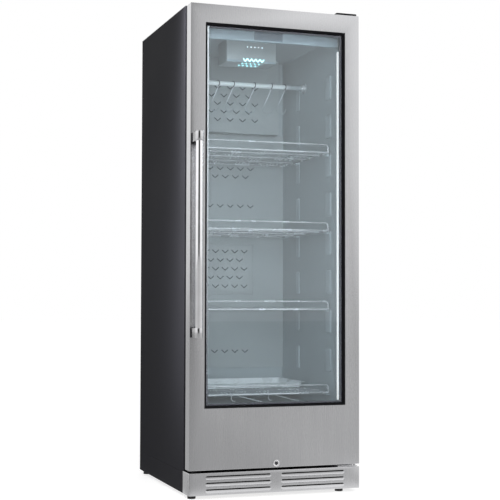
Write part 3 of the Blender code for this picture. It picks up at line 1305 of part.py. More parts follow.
def build():
    """Model every piece and give it its material and place."""
    for old in list(bpy.data.objects):
        bpy.data.objects.remove(old)
    black = paint("black_painted_steel", (0.02, 0.021, 0.024), 0.5)
    steel = paint("brushed_steel", (0.6, 0.6, 0.6), 0.32, 1.0)
    bright = paint("bright_steel", (0.75, 0.75, 0.75), 0.15, 1.0)
    plated = paint("plated_steel", (0.55, 0.56, 0.57), 0.4, 1.0)
    liner = paint("grey_liner", (0.36, 0.39, 0.41), 0.45)
    sheet = paint("grey_sheet", (0.36, 0.39, 0.41), 0.4)
    trim = paint("black_plastic", (0.012, 0.012, 0.014), 0.35)
    rubber = paint("black_rubber", (0.02, 0.02, 0.02), 0.85)
    foam = paint("rigid_foam", (0.8, 0.7, 0.42), 0.9)
    clear = paint("tinted_glass", (0.75, 0.85, 0.9), 0.02, 0.0, 0.2)
    white = paint("white_diffuser", (0.95, 0.96, 0.97), 0.3)
    pale = paint("pale_plastic", (0.55, 0.62, 0.68), 0.35)
    dark_glass = paint("dark_window", (0.06, 0.07, 0.09), 0.1)
    alloy = paint("fin_aluminium", (0.7, 0.71, 0.72), 0.4, 1.0)
    bar = paint("spacer_aluminium", (0.8, 0.81, 0.82), 0.35, 1.0)

    body = ((outer_shell, black), (back_panel, black), (compartment_cover, black), (power_inlet, trim),
            (insulation_foam, foam), (front_frame, liner), (inner_liner, liner), (base_chassis, black),
            (kick_plate, steel), (top_hinge_plate, plated), (top_hinge_cover, trim),
            (bottom_hinge_bracket, plated), (evaporator_cover, sheet), (rear_air_panel, sheet),
            (filter_cover, sheet), (control_panel, pale), (display_window, dark_glass),
            (lamp_housing, sheet), (air_lamp, white), (hanging_rail, bright), (compressor, black),
            (drip_tray, trim))
    for maker, material in body:
        settle(maker(), material, smooth=35)
    for side, hand in (("left", -1), ("right", 1)):
        settle(light_strip(f"light_strip_{side}", hand), white)
        settle(rail_bracket(f"rail_bracket_{side}", hand), plated, smooth=35)
    coil = finned_coil("evaporator_coil", (COIL_LEFT + COIL_RIGHT) / 2, (COIL_RIGHT - COIL_LEFT) / 2,
                       COIL_DEPTH, COIL_THICK, COIL_LOW, COIL_TALL, WALL_SEAT)
    settle(coil, alloy)
    ground, behind = FLOOR_TOP + SEAT, CONDENSER_DEPTH + CONDENSER_THICK
    coil = finned_coil("condenser_coil", CONDENSER_X, CONDENSER_HALF, CONDENSER_DEPTH, CONDENSER_THICK,
                       ground, CONDENSER_TALL, behind)
    settle(coil, alloy)
    blow = behind + SHROUD_GAP
    fans = (("evaporator", EVAP_FAN_X, EVAP_FAN_HEIGHT, EVAP_FAN_RADIUS, EVAP_FAN_DEPTH, WALL_SEAT, None),
            ("condenser", CONDENSER_X, ground + CONDENSER_TALL / 2, COND_FAN_RADIUS, blow,
             blow + FAN_DEEP + 2 * MOTOR_LONG, ground))
    for name, x, height, radius, front, back, bottom in fans:
        settle(fan_frame(f"{name}_fan_frame", x, height, radius, front, back, bottom), trim, smooth=35)
        wheel = fan_wheel(f"{name}_fan_wheel", x, height, radius, front)
        settle(wheel, pale, (x, front, height), smooth=35)
    corners = ("front_left", "front_right", "rear_left", "rear_right")
    for corner, (x, depth) in zip(corners, foot_places()):
        settle(leveling_foot(f"leveling_foot_{corner}", x, depth), rubber, (x, depth, 0.0), smooth=35)

    hinge = (HINGE_X, HINGE_DEPTH, 0.0)
    door = ((door_skin(), steel), (door_core(), foam), (glazing_frame(), trim),
            (pane("outer_glass", "outer"), clear), (pane("inner_glass", "inner"), clear),
            (glass_spacer(), bar), (door_gasket(), rubber),
            (handle_bar(), bright), (handle_post("handle_post_lower", HANDLE_LOW), bright),
            (handle_post("handle_post_upper", HANDLE_HIGH - COLLAR_TALL), bright), (lock_ring(), bright))
    for piece, material in door:
        settle(piece, material, hinge, smooth=35)
    settle(lock_cylinder(), plated, (0.0, 0.0, LOCK_HEIGHT), smooth=35)

    rack = shelf_mesh()
    for index, level in enumerate(SHELF_LEVELS, 1):
        shelf = bpy.data.objects.new(f"shelf_{index}", rack)
        bpy.context.scene.collection.objects.link(shelf)
        settle(shelf, plated, smooth=50)
        shelf.location = (0.0, FACE_Y + SHELF_FRONT, level)
    settle(salt_tray(), bright, (0.0, TRAY_FRONT, SHELF_LEVELS[-1]), smooth=35)

    wire = hook_mesh()
    for index, (x, turn) in enumerate(zip(HOOK_PLACES, HOOK_TURNS), 1):
        swing = Matrix.Rotation(radians(turn), 4, "Z")
        place_hook(f"hook_{index}", wire, bright, (x, RAIL_DEPTH, RAIL_HEIGHT), swing)
    flat = Matrix.Rotation(radians(SPARE_TILT) - pi / 2, 4, "Y") @ Matrix.Rotation(pi / 2, 4, "Z")
    for index, gap in enumerate(SPARE_HOOK_GAPS, 1):
        x = CAVITY_HALF - gap
        spare = place_hook(f"spare_hook_{index}", wire, bright, (x, SPARE_HOOK_DEPTH, FLOOR_HEIGHT), flat)
        lay_down(spare, FLOOR_HEIGHT)


build()
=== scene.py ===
"""Looks of the dry aging cabinet, laid out as an add-on: finer pieces, finishes, lights and the camera."""

from contextlib import contextmanager
from math import cos, pi, radians, sin

import bmesh
import bpy
from mathutils import Matrix, Vector


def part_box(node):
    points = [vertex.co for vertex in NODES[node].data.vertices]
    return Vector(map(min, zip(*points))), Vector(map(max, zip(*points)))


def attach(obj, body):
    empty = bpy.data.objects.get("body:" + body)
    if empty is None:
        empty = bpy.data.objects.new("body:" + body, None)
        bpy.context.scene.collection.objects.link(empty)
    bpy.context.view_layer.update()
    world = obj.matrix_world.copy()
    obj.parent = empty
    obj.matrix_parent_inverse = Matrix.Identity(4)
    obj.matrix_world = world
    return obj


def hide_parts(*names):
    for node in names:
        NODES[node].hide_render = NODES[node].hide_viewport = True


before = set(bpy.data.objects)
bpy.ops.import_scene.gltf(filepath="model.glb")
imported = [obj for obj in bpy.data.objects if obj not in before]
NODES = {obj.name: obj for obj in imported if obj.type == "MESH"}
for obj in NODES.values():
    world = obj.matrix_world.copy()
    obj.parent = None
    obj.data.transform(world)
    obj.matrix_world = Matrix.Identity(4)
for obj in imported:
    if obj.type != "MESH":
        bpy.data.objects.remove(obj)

bl_info = {
    "name": "Dry aging cabinet",
    "version": (1, 0, 0),
    "blender": (4, 5, 0),
    "location": "3D View > Sidebar > Cabinet",
    "description": "Builds the fine pieces and the finishes of a dry aging cabinet around its solids",
    "category": "Object",
}


def span(node):
    """The lowest and highest corner of a solid."""
    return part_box(node)


DOOR_LOW, DOOR_HIGH = span("door_skin")
FACE = DOOR_LOW.y

# how far a point may be from a place and still count as there, fine and coarse
CLOSE, NEAR = 0.0001, 0.001


# modelling helpers

def deselect():
    """Leave object mode with nothing selected."""
    if bpy.context.object and bpy.context.object.mode != "OBJECT":
        bpy.ops.object.mode_set(mode="OBJECT")
    bpy.ops.object.select_all(action="DESELECT")


def activate(*pieces):
    """Select only these pieces and make the first one active."""
    deselect()
    for piece in pieces:
        piece.select_set(True)
    bpy.context.view_layer.objects.active = pieces[0]


def apply_place(piece):
    """Move the piece's place, turn and scale into its mesh."""
    activate(piece)
    bpy.ops.object.transform_apply(location=True, rotation=True, scale=True)
    return piece


def primitive(kind, name, **place):
    """Add a mesh primitive at its size and place."""
    deselect()
    getattr(bpy.ops.mesh, f"primitive_{kind}_add")(**place)
    piece = bpy.context.object
    piece.name = piece.data.name = name
    return apply_place(piece)


def block(name, low, high):
    """A cube between two corners."""
    low, high = Vector(low), Vector(high)
    return primitive("cube", name, size=1.0, location=(low + high) / 2, scale=high - low)


AXIS_TURN = {"X": (0.0, pi / 2, 0.0), "Y": (pi / 2, 0.0, 0.0), "Z": (0.0, 0.0, 0.0)}


def rod(name, centre, radius, length, axis="Z", sides=32):
    """A cylinder along one axis."""
    return primitive("cylinder", name, vertices=sides, radius=radius, depth=length, location=centre,
                     rotation=AXIS_TURN[axis])


@contextmanager
def editing(piece, kind="FACE"):
    """Edit mode on one piece, with nothing selected."""
    activate(piece)
    bpy.ops.object.mode_set(mode="EDIT")
    bpy.ops.mesh.select_mode(type=kind)
    bpy.ops.mesh.select_all(action="DESELECT")
    yield
    bpy.ops.object.mode_set(mode="OBJECT")


def everything():
    """Select the whole mesh."""
    bpy.ops.mesh.select_all(action="SELECT")


def pick(piece, kind, test):
    """Select only the verts, edges or faces that pass a test."""
    bpy.ops.mesh.select_mode(type=kind[:-1].upper())
    bpy.ops.mesh.select_all(action="DESELECT")
    shape = bmesh.from_edit_mesh(piece.data)
    shape.normal_update()
    for item in getattr(shape, kind):
        if test(item):
            item.select_set(True)
    bmesh.update_edit_mesh(piece.data)


def middle(item):
    """The middle of an edge."""
    return (item.verts[0].co + item.verts[1].co) / 2


def along(item, axis):
    """Whether an edge runs along an axis, given as 0, 1 or 2."""
    way = (item.verts[0].co - item.verts[1].co).normalized()
    return abs(way[axis]) > 0.999


def facing(item, axis, sign):
    """Whether a face looks along an axis."""
    return item.normal[axis] * sign > 0.9


def bevel(piece, offset, segments, test):
    """Round the edges that pass a test."""
    pick(piece, "edges", test)
    bpy.ops.mesh.bevel(offset=offset, segments=segments)


def bevel_along(piece, axis, offset, segments):
    """Round the edges that run along an axis, and give the piece back."""
    with editing(piece):
        bevel(piece, offset, segments, lambda e: along(e, axis))
    return piece


def open_up(piece, test):
    """Delete the faces that pass a test."""
    pick(piece, "faces", test)
    bpy.ops.mesh.delete(type="FACE")


def shift(*way):
    """Move what is selected."""
    bpy.ops.transform.translate(value=way)


def extrude(*way):
    """Extrude what is selected."""
    bpy.ops.mesh.extrude_region_move(TRANSFORM_OT_translate={"value": way})


def modify(piece, kind, **values):
    """Add a modifier, set its values and apply it."""
    activate(piece)
    step = piece.modifiers.new(kind.lower(), kind)
    for key, value in values.items():
        setattr(step, key, value)
    bpy.ops.object.modifier_apply(modifier=step.name)
    return piece


def round_edges(piece, width, segments=3, angle=35):
    """Round the edges that are sharper than an angle."""
    return modify(piece, "BEVEL", width=width, segments=segments, limit_method="ANGLE",
                  angle_limit=radians(angle), use_clamp_overlap=True)


def thicken(piece, wall):
    """Give an open skin its thickness, inwards."""
    return modify(piece, "SOLIDIFY", thickness=wall, offset=-1.0)


def merge(piece, operation, tool):
    """Combine the piece with a tool and delete the tool."""
    modify(piece, "BOOLEAN", operation=operation, object=tool, solver="EXACT")
    bpy.data.objects.remove(tool)
    return piece


def cut(piece, tool):
    """Cut the tool out of the piece and delete it."""
    return merge(piece, "DIFFERENCE", tool)


def join(name, pieces):
    """Join pieces into one."""
    activate(*pieces)
    if len(pieces) > 1:
        bpy.ops.object.join()
    piece = bpy.context.object
    piece.name = piece.data.name = name
    return piece


def copy_of(piece, name, matrix=None):
    """A copy with its own mesh, moved by a matrix."""
    twin = bpy.data.objects.new(name, piece.data.copy())
    twin.data.name = name
    bpy.context.scene.collection.objects.link(twin)
    if matrix is not None:
        twin.data.transform(matrix)
    return twin


def softened(node, name, width, segments=2):
    """A merged copy of a solid with its edges rounded."""
    piece = copy_of(NODES[node], name)
    with editing(piece, "VERT"):
        everything()
        bpy.ops.mesh.remove_doubles(threshold=0.00001)
        bpy.ops.mesh.dissolve_limited(angle_limit=radians(0.5))
    return round_edges(piece, width, segments)


def coat(mesh, finish):
    """Give a mesh one finish."""
    mesh.materials.clear()
    mesh.materials.append(FINISH[finish])


def settle(piece, body, finish, slot, *nodes, smooth=35):
    """Give a finished piece its shading, finish, body and the solids it stands for."""
    apply_place(piece)
    coat(piece.data, finish)
    bpy.ops.object.shade_smooth_by_angle(angle=radians(smooth))
    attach(piece, body)
    if nodes:
        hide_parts(*nodes)


def dress(finish, *nodes):
    """Give carried-over solids their finish."""
    for node in nodes:
        coat(NODES[node].data, finish)


def wire(name, start, heading, radius, moves, sides=12, closed=False):
    """Draw a round wire: a ring that is extruded along straights and spun round bends."""
    turn = Vector(heading).to_track_quat("Z", "Y").to_euler()
    piece = primitive("circle", name, vertices=sides, radius=radius, location=start, rotation=turn,
                      fill_type="NOTHING")
    with editing(piece, "EDGE"):
        everything()
        if not closed:
            bpy.ops.mesh.edge_face_add()
            bpy.ops.mesh.select_mode(type="EDGE")
            bpy.ops.mesh.duplicate()
            bpy.ops.mesh.delete(type="ONLY_FACE")
            pick(piece, "edges", lambda e: not e.link_faces)
        for kind, *rest in moves:
            if kind == "go":
                extrude(*rest[0])
            else:
                centre, axis, angle, steps = rest
                bpy.ops.mesh.spin(steps=steps, angle=-angle, center=centre, axis=axis)
        if not closed:
            bpy.ops.mesh.edge_face_add()
        everything()
        bpy.ops.mesh.remove_doubles(threshold=0.00002)
        bpy.ops.mesh.normals_make_consistent(inside=False)
    return piece


# finishes

def group(name, inputs, outputs, build):
    """A shader node group with named inputs and outputs, built once."""
    tree = bpy.data.node_groups.new(name, "ShaderNodeTree")
    for label, default in inputs.items():
        socket = tree.interface.new_socket(name=label, in_out="INPUT", socket_type="NodeSocketFloat")
        socket.default_value = default
    for label in outputs:
        tree.interface.new_socket(name=label, in_out="OUTPUT", socket_type="NodeSocketFloat")
    build(tree, tree.nodes.new("NodeGroupInput").outputs, tree.nodes.new("NodeGroupOutput"))
    return tree


def add(tree, kind, links=None, **values):
    """Add a node, set its values and link its inputs."""
    node = tree.nodes.new(f"ShaderNode{kind}")
    for key, value in values.items():
        setattr(node, key, value)
    for socket, source in (links or {}).items():
        if isinstance(source, bpy.types.NodeSocket):
            tree.links.new(source, node.inputs[socket])
        else:
            node.inputs[socket].default_value = source
    return node


def feed(tree, node, **sources):
    """Link a node's inputs, whose names have underscores for spaces here."""
    for key, source in sources.items():
        tree.links.new(source, node.inputs[key.replace("_", " ")])


def calc(tree, operation, first, second=0.0):
    """A maths node's output."""
    return add(tree, "Math", {0: first, 1: second}, operation=operation).outputs[0]


def weighted(tree, first, second, share):
    """A share of the first value and the rest of the second."""
    return calc(tree, "ADD", calc(tree, "MULTIPLY", first, share),
                calc(tree, "MULTIPLY", second, 1.0 - share))


def coordinates(tree, kind="Object"):
    """Texture coordinates of one kind."""
    return add(tree, "TexCoord").outputs[kind]


def split(tree, vector):
    """A vector's X, Y and Z."""
    return add(tree, "SeparateXYZ", {0: vector}).outputs


def noise(tree, vector, scale, detail, roughness=0.5):
    """A noise texture's level."""
    return add(tree, "TexNoise", {"Vector": vector, "Scale": scale, "Detail": detail,
                                  "Roughness": roughness}).outputs[0]


def cells(tree, scale, randomness=1.0):
    """The distance from the middles of small cells."""
    return add(tree, "TexVoronoi", {"Vector": coordinates(tree), "Scale": scale,
                                    "Randomness": randomness}).outputs["Distance"]


def ranged(tree, value, low=0.0, high=1.0, start=0.0, end=1.0, curve="LINEAR"):
    """A value that goes from low to high while another goes from its start to its end."""
    return add(tree, "MapRange", {"Value": value, "From Min": start, "From Max": end, "To Min": low,
                                  "To Max": high}, interpolation_type=curve).outputs[0]


def blended(tree, mask, low, high):
    """A colour between two others by a mask, each of them a colour or a socket."""
    low, high = (end if isinstance(end, bpy.types.NodeSocket) else (*end, 1.0) for end in (low, high))
    return add(tree, "Mix", {"Factor": mask, "A": low, "B": high}, data_type="RGBA").outputs["Result"]


def raised(tree, height, strength, distance):
    """A bumped normal from a height."""
    return add(tree, "Bump", {"Height": height, "Strength": strength, "Distance": distance}).outputs[0]


def mixed(tree, share, first, second):
    """A mix of two shaders."""
    return add(tree, "MixShader", {0: share, 1: first, 2: second}).outputs[0]


def shade(colour, share):
    """A colour made lighter or darker by a share."""
    return tuple(min(1.0, value * share) for value in colour)


FINE_LINES = (900.0, 900.0, 9.0)
BROAD_LINES = (60.0, 60.0, 1.5)

# the gap round the camera: output, direction, where it starts and ends, and how dim it gets
DIPS = (("Wide", (-0.3244, -0.9459, 0.0), 0.62, 0.9, 0.68),
        ("Core", (-0.43, -0.903, 0.0), 0.9, 0.922, 0.05))


def build_streaks(tree, inputs, outputs):
    """Fine upright brushing lines, with a slower drift between them."""
    fine, broad = (add(tree, "Mapping", {"Vector": coordinates(tree), "Scale": scale}).outputs["Vector"]
                   for scale in (FINE_LINES, BROAD_LINES))
    both = weighted(tree, noise(tree, fine, 1.0, 4.0, 0.65), noise(tree, broad, 1.0, 3.0), 0.7)
    lines = ranged(tree, both, start=0.35, end=0.65)
    feed(tree, outputs, Lines=lines, Mask=calc(tree, "MULTIPLY", lines, inputs["Amount"]))


def build_mottle(tree, inputs, outputs):
    """Slow cloudy change with a finer grain in it."""
    place = coordinates(tree)
    slow = noise(tree, place, inputs["Size"], 2.0)
    feed(tree, outputs, Cloud=ranged(tree, slow, start=0.3, end=0.7),
         Grain=noise(tree, place, inputs["Grain"], 3.0))


def build_dust(tree, inputs, outputs):
    """A thin film of dust where a surface looks up."""
    up = split(tree, add(tree, "NewGeometry").outputs["Normal"])["Z"]
    patch = noise(tree, coordinates(tree), 14.0, 6.0, 0.7)
    level = calc(tree, "MULTIPLY", calc(tree, "MAXIMUM", up, 0.0), patch)
    feed(tree, outputs, Mask=calc(tree, "MULTIPLY", level, inputs["Amount"]))


def build_gap(tree, inputs, outputs):
    """Where the surroundings are dim round the camera: a wide dip, and a dark core inside it."""
    flat = add(tree, "CombineXYZ", {"X": inputs["X"], "Y": inputs["Y"]}).outputs[0]
    unit = add(tree, "VectorMath", {0: flat}, operation="NORMALIZE").outputs[0]
    for label, way, start, end, level in DIPS:
        toward = add(tree, "VectorMath", {0: unit, 1: way}, operation="DOT_PRODUCT").outputs["Value"]
        feed(tree, outputs, **{label: ranged(tree, toward, 1.0, level, start, end, "SMOOTHSTEP")})


def shared_groups():
    """The effects that more than one finish uses."""
    return {
        "gap": group("dim_gap", {"X": 0.0, "Y": 0.0}, ("Wide", "Core"), build_gap),
        "streaks": group("brushing_lines", {"Amount": 1.0}, ("Lines", "Mask"), build_streaks),
        "mottle": group("cloudy_grain", {"Size": 6.0, "Grain": 900.0}, ("Cloud", "Grain"), build_mottle),
        "dust": group("dust_film", {"Amount": 0.2}, ("Mask",), build_dust),
    }


def use(tree, name, **values):
    """Place a shared effect with its own values and give its outputs."""
    return add(tree, "Group", values, node_tree=GROUPS[name]).outputs


def blank(name, **values):
    """A material with only a Principled shader, and its tree and shader."""
    material = bpy.data.materials.new(name)
    material.use_nodes = True
    shader = material.node_tree.nodes["Principled BSDF"]
    for key, value in values.items():
        shader.inputs[key.replace("_", " ")].default_value = value
    return material, material.node_tree, shader


def surface(tree, shader):
    """Make a shader the material's surface."""
    feed(tree, tree.nodes["Material Output"], Surface=shader)


def brushed(name, colour, rough):
    """Brushed steel with upright lines."""
    material, tree, shader = blank(name, Metallic=1.0)
    lines = use(tree, "streaks", Amount=0.5)
    tone = weighted(tree, lines["Mask"], use(tree, "mottle", Size=3.0, Grain=40.0)["Cloud"], 0.6)
    feed(tree, shader, Base_Color=blended(tree, tone, shade(colour, 0.93), shade(colour, 1.06)),
         Roughness=ranged(tree, lines["Lines"], rough * 0.86, rough * 1.14),
         Normal=raised(tree, lines["Lines"], 0.25, 0.00002))
    return material


def polished(name, colour, rough, metal=1.0):
    """Smooth metal with faint clouding and fine scratches."""
    material, tree, shader = blank(name, Metallic=metal)
    cloud = use(tree, "mottle", Size=22.0, Grain=1400.0)
    feed(tree, shader, Base_Color=blended(tree, cloud["Cloud"], shade(colour, 0.95), shade(colour, 1.04)),
         Roughness=ranged(tree, cloud["Cloud"], rough * 0.8, rough * 1.25),
         Normal=raised(tree, cloud["Grain"], 0.15, 0.00001))
    return material


def painted_light_along(name, axis, first, stops, metal):
    """A polished bar whose tone changes along an axis, as painted light and shade: a first tone, then stops
    from, to and tone.
    """
    material, tree, shader = blank(name, Metallic=metal, Roughness=0.3)
    place = split(tree, coordinates(tree))[axis]
    grain = use(tree, "mottle", Size=22.0, Grain=1400.0)["Grain"]
    tone = first
    for start, end, colour in stops:
        tone = blended(tree, ranged(tree, place, start=start, end=end), tone, colour)
    feed(tree, shader, Base_Color=tone, Roughness=ranged(tree, grain, 0.26, 0.34),
         Normal=raised(tree, grain, 0.15, 0.00001))
    return material


def moulded(name, colour, rough, grain=900.0, depth=0.00004, strength=0.3, dust=0.0, size=6.0, spread=0.05,
            shine=0.5):
    """Paint, plastic or rubber: a grained skin with slow changes in tone and some dust on top."""
    material, tree, shader = blank(name, Specular_IOR_Level=shine)
    cloud = use(tree, "mottle", Size=size, Grain=grain)
    tone = blended(tree, cloud["Cloud"], shade(colour, 1 - spread), shade(colour, 1 + spread))
    if dust:
        tone = blended(tree, use(tree, "dust", Amount=dust)["Mask"], tone, (0.45, 0.44, 0.42))
    feed(tree, shader, Base_Color=tone, Roughness=ranged(tree, cloud["Cloud"], rough * 0.9, rough * 1.1),
         Normal=raised(tree, cloud["Grain"], strength, depth))
    return material


def foamed(name, colour):
    """Rigid foam with small open cells."""
    material, tree, shader = blank(name, Roughness=0.9)
    hollow = cells(tree, 420.0)
    feed(tree, shader, Base_Color=blended(tree, hollow, shade(colour, 0.8), shade(colour, 1.05)),
         Normal=raised(tree, hollow, 0.6, 0.0004))
    return material


def finned(name, colour):
    """Aluminium fins that stand close together across the block, with painted shade in the gaps between them.
    """
    material, tree, shader = blank(name, Metallic=1.0, Roughness=0.4)
    wave = add(tree, "TexWave", {"Vector": coordinates(tree), "Scale": 160.0, "Distortion": 0.4,
                                 "Detail": 1.0, "Detail Scale": 2.0},
               wave_type="BANDS", bands_direction="X").outputs["Fac"]
    # the dark bands are painted shade between the fins
    feed(tree, shader, Base_Color=blended(tree, wave, shade(colour, 0.35), shade(colour, 1.05)),
         Normal=raised(tree, wave, 0.8, 0.0006))
    return material


def pierced(name, colour, bright):
    """The spacer bar with its row of tiny breather holes, which are painted dark as painted shade, and a
    painted highlight along the left side only.
    """
    material, tree, shader = blank(name, Roughness=0.32)
    place = split(tree, coordinates(tree))
    # painted highlight: the left bar is painted bright in its upper part, where light falls on it; the holes
    # are painted dark as painted shade
    left = ranged(tree, place["X"], start=-0.2318, end=-0.2326)
    high = ranged(tree, place["Z"], start=0.28, end=1.5)
    holes = calc(tree, "LESS_THAN", cells(tree, 300.0, 0.0), 0.16)
    bar = blended(tree, calc(tree, "MULTIPLY", left, high), colour, bright)
    feed(tree, shader, Base_Color=blended(tree, holes, bar, (0.02, 0.02, 0.022)),
         Normal=raised(tree, holes, 0.3, 0.0002))
    return material


def glazing(name, colour):
    """Tinted glass that lets the light of lamps through, with faint smears."""
    material, tree, shader = blank(name, Transmission_Weight=1.0, IOR=1.45)
    cloud = use(tree, "mottle", Size=5.0, Grain=60.0)["Cloud"]
    feed(tree, shader, Base_Color=blended(tree, cloud, colour, shade(colour, 1.02)),
         Roughness=ranged(tree, cloud, 0.0, 0.012))
    clear = add(tree, "BsdfTransparent", {"Color": (*colour, 1.0)}).outputs[0]
    path = add(tree, "LightPath").outputs
    passing = calc(tree, "MAXIMUM", path["Is Shadow Ray"], path["Is Diffuse Ray"])
    surface(tree, mixed(tree, passing, shader.outputs[0], clear))
    return material


def glowing(name, colour, strength):
    """A lit diffuser, a little uneven along its length."""
    material, tree, shader = blank(name, Roughness=0.35, Emission_Strength=strength)
    cloud = use(tree, "mottle", Size=9.0, Grain=700.0)
    tone = blended(tree, cloud["Cloud"], shade(colour, 0.94), colour)
    feed(tree, shader, Base_Color=tone, Emission_Color=tone,
         Normal=raised(tree, cloud["Grain"], 0.2, 0.00003))
    return material


GROUPS = {}
FINISH = {}
# painted light on the rail: its near-white tone is a painted shine, and its dark stop past the last hook is
# painted shade
RAIL_PAINTED_SHINE = (0.98, 0.98, 0.97)
RAIL_PAINTED_SHADE = ((0.17, 0.2, (0.42, 0.45, 0.47)),)
# painted light on the hooks: a painted highlight on the shank, and the loop over the rail painted dark as
# painted shade
HOOK_TONE = (0.4, 0.43, 0.45)
HOOK_PAINTED_LIGHT_AND_SHADE = ((1.345, 1.375, (0.85, 0.87, 0.89)), (1.408, 1.414, (0.04, 0.045, 0.05)))


def make_finishes(colours):
    """All the finishes by name, from the colours that a user may change."""
    GROUPS.update(shared_groups())
    steel, paint, liner, glass, glow = (tuple(getattr(colours, name))
                                        for name in ("steel", "paint", "liner", "glass", "glow"))
    FINISH.update({
        "black_painted_steel": moulded("black_painted_sheet", paint, 0.42, grain=650.0, depth=0.00006,
                                       strength=0.35, dust=0.05, size=2.5, spread=0.1, shine=0.004),
        "brushed_steel": brushed("upright_brushed_steel", steel, 0.26),
        "bright_steel": polished("polished_steel", shade(steel, 1.18), 0.16),
        "mirror_steel": polished("mirror_polished_steel", (0.9, 0.9, 0.92), 0.09),
        "rail_steel": painted_light_along("rail_steel", "X", RAIL_PAINTED_SHINE, RAIL_PAINTED_SHADE, 0.1),
        "hook_steel": painted_light_along("hook_steel", "Z", HOOK_TONE, HOOK_PAINTED_LIGHT_AND_SHADE, 0.3),
        "tray_steel": polished("pressed_tray_steel", (0.97, 0.97, 0.97), 0.3, metal=0.1),
        # the barrel is painted dark as painted shade of its keyhole
        "barrel_steel": polished("dark_barrel_steel", (0.16, 0.16, 0.17), 0.3),
        "lock_steel": polished("lock_ring_steel", (0.8, 0.8, 0.81), 0.25, metal=0.7),
        "plated_steel": polished("plated_wire_steel", shade(steel, 1.25), 0.24, metal=0.55),
        "grey_liner": moulded("grey_moulded_liner", liner, 0.42, grain=500.0, depth=0.00005, size=4.0,
                              spread=0.04),
        # the ribs and lugs are the liner's own plastic, painted lighter as a painted highlight where they
        # stand out into the light
        "ribs_painted_lighter": moulded("pale_moulded_ribs", shade(liner, 1.2), 0.42, grain=500.0, size=4.0,
                             spread=0.04),
        "grey_sheet": moulded("grey_coated_sheet", (0.44, 0.462, 0.465), 0.38, grain=800.0, size=5.0,
                              spread=0.04),
        "filter_sheet": moulded("filter_cover_sheet", (0.49, 0.51, 0.512), 0.38, grain=800.0, size=5.0,
                                spread=0.04),
        "black_plastic": moulded("black_grained_plastic", (0.012, 0.012, 0.014), 0.38, grain=1200.0),
        "black_rubber": moulded("black_rubber_skin", (0.022, 0.022, 0.023), 0.8, grain=700.0, strength=0.5,
                                dust=0.12),
        "matt_black": moulded("matt_black_skin", (0.007, 0.007, 0.008), 0.6, grain=1500.0, shine=0.02),
        "slot_shadow": moulded("slot_shadow", (0.025, 0.03, 0.034), 0.6, grain=700.0, shine=0.1),
        "pale_plastic": moulded("pale_fascia_plastic", (0.37, 0.435, 0.48), 0.35, grain=1000.0, size=7.0),
        "dark_window": moulded("smoked_window", (0.17, 0.2, 0.235), 0.12, grain=300.0, depth=0.00001,
                               strength=0.1),
        "rigid_foam": foamed("cellular_foam", (0.78, 0.68, 0.42)),
        "fin_aluminium": finned("close_aluminium_fins", (0.66, 0.67, 0.68)),
        # the spacer's bright left side is a painted highlight, its dark holes painted shade
        "spacer_aluminium": pierced("pierced_spacer_bar", (0.035, 0.035, 0.05), (0.7, 0.72, 0.74)),
        "tinted_glass": glazing("blue_grey_glass", glass),
        "white_diffuser": glowing("lit_strip_diffuser", (1.0, 0.98, 0.96), 0.72),
        "air_glow": glowing("cyan_white_glow", glow, 1.3),
        "grille_glow": glowing("white_grille_glow", glow, 2.8),
        "warm_dots": glowing("small_lit_holes", (0.85, 0.95, 1.0), 2.5),
    })


# sizes, colours and the studio

def number(name, description, default, **kind):
    """A number that a user may change."""
    return bpy.props.FloatProperty(name=name, description=description, default=default, **kind)


def length(name, description, default):
    """A size in metres that a user may change."""
    return number(name, description, default, min=0.0, unit="LENGTH", precision=5)


def tint(name, description, default):
    """A colour that a user may change."""
    return bpy.props.FloatVectorProperty(name=name, description=description, default=default, min=0.0,
                                         max=1.0, size=3, subtype="COLOR")


class CabinetSizes(bpy.types.PropertyGroup):
    """Sizes of the fine pieces."""

    fold_radius: length("Fold radius", "Radius of the folds in the door's skin", 0.0009)
    skin_sheet: length("Skin sheet", "Thickness of the door's steel sheet", 0.001)
    frame_radius: length("Frame rod", "Radius of the rod round a shelf", 0.003)
    guard_radius: length("Guard rod", "Radius of the raised guard's rod", 0.0025)
    wire_radius: length("Shelf wire", "Radius of the wires across a shelf", 0.0015)
    wire_count: bpy.props.IntProperty(name="Shelf wires", description="Wires on one shelf", default=40, min=2)
    guard_rise: length("Guard height", "Height of the guard over the shelf", 0.028)
    hook_radius: length("Hook wire", "Radius of a hook's wire", 0.0016)
    liner_corner: length("Liner corner", "Radius of the liner's inner corners", 0.006)
    foot_pad: length("Handle foot", "Length of the black foot of a handle post", 0.025)
    rail_radius: length("Rail radius", "Radius of the hanging rail", 0.0084)
    louvre_proud: length("Louvre height", "How far a louvre stands out of the kick plate", 0.0042)


class CabinetColours(bpy.types.PropertyGroup):
    """Main colours of the finishes."""

    steel: tint("Steel", "Brushed steel of the door and the kick plate", (0.57, 0.572, 0.585))
    paint: tint("Paint", "Black paint of the outer shell", (0.02, 0.02, 0.0235))
    liner: tint("Liner", "Grey of the inside", (0.42, 0.455, 0.47))
    glass: tint("Glass", "Tint of the door's panes", (0.91, 0.94, 0.955))
    glow: tint("Air light", "Light of the tube lamp", (0.5, 0.95, 1.0))


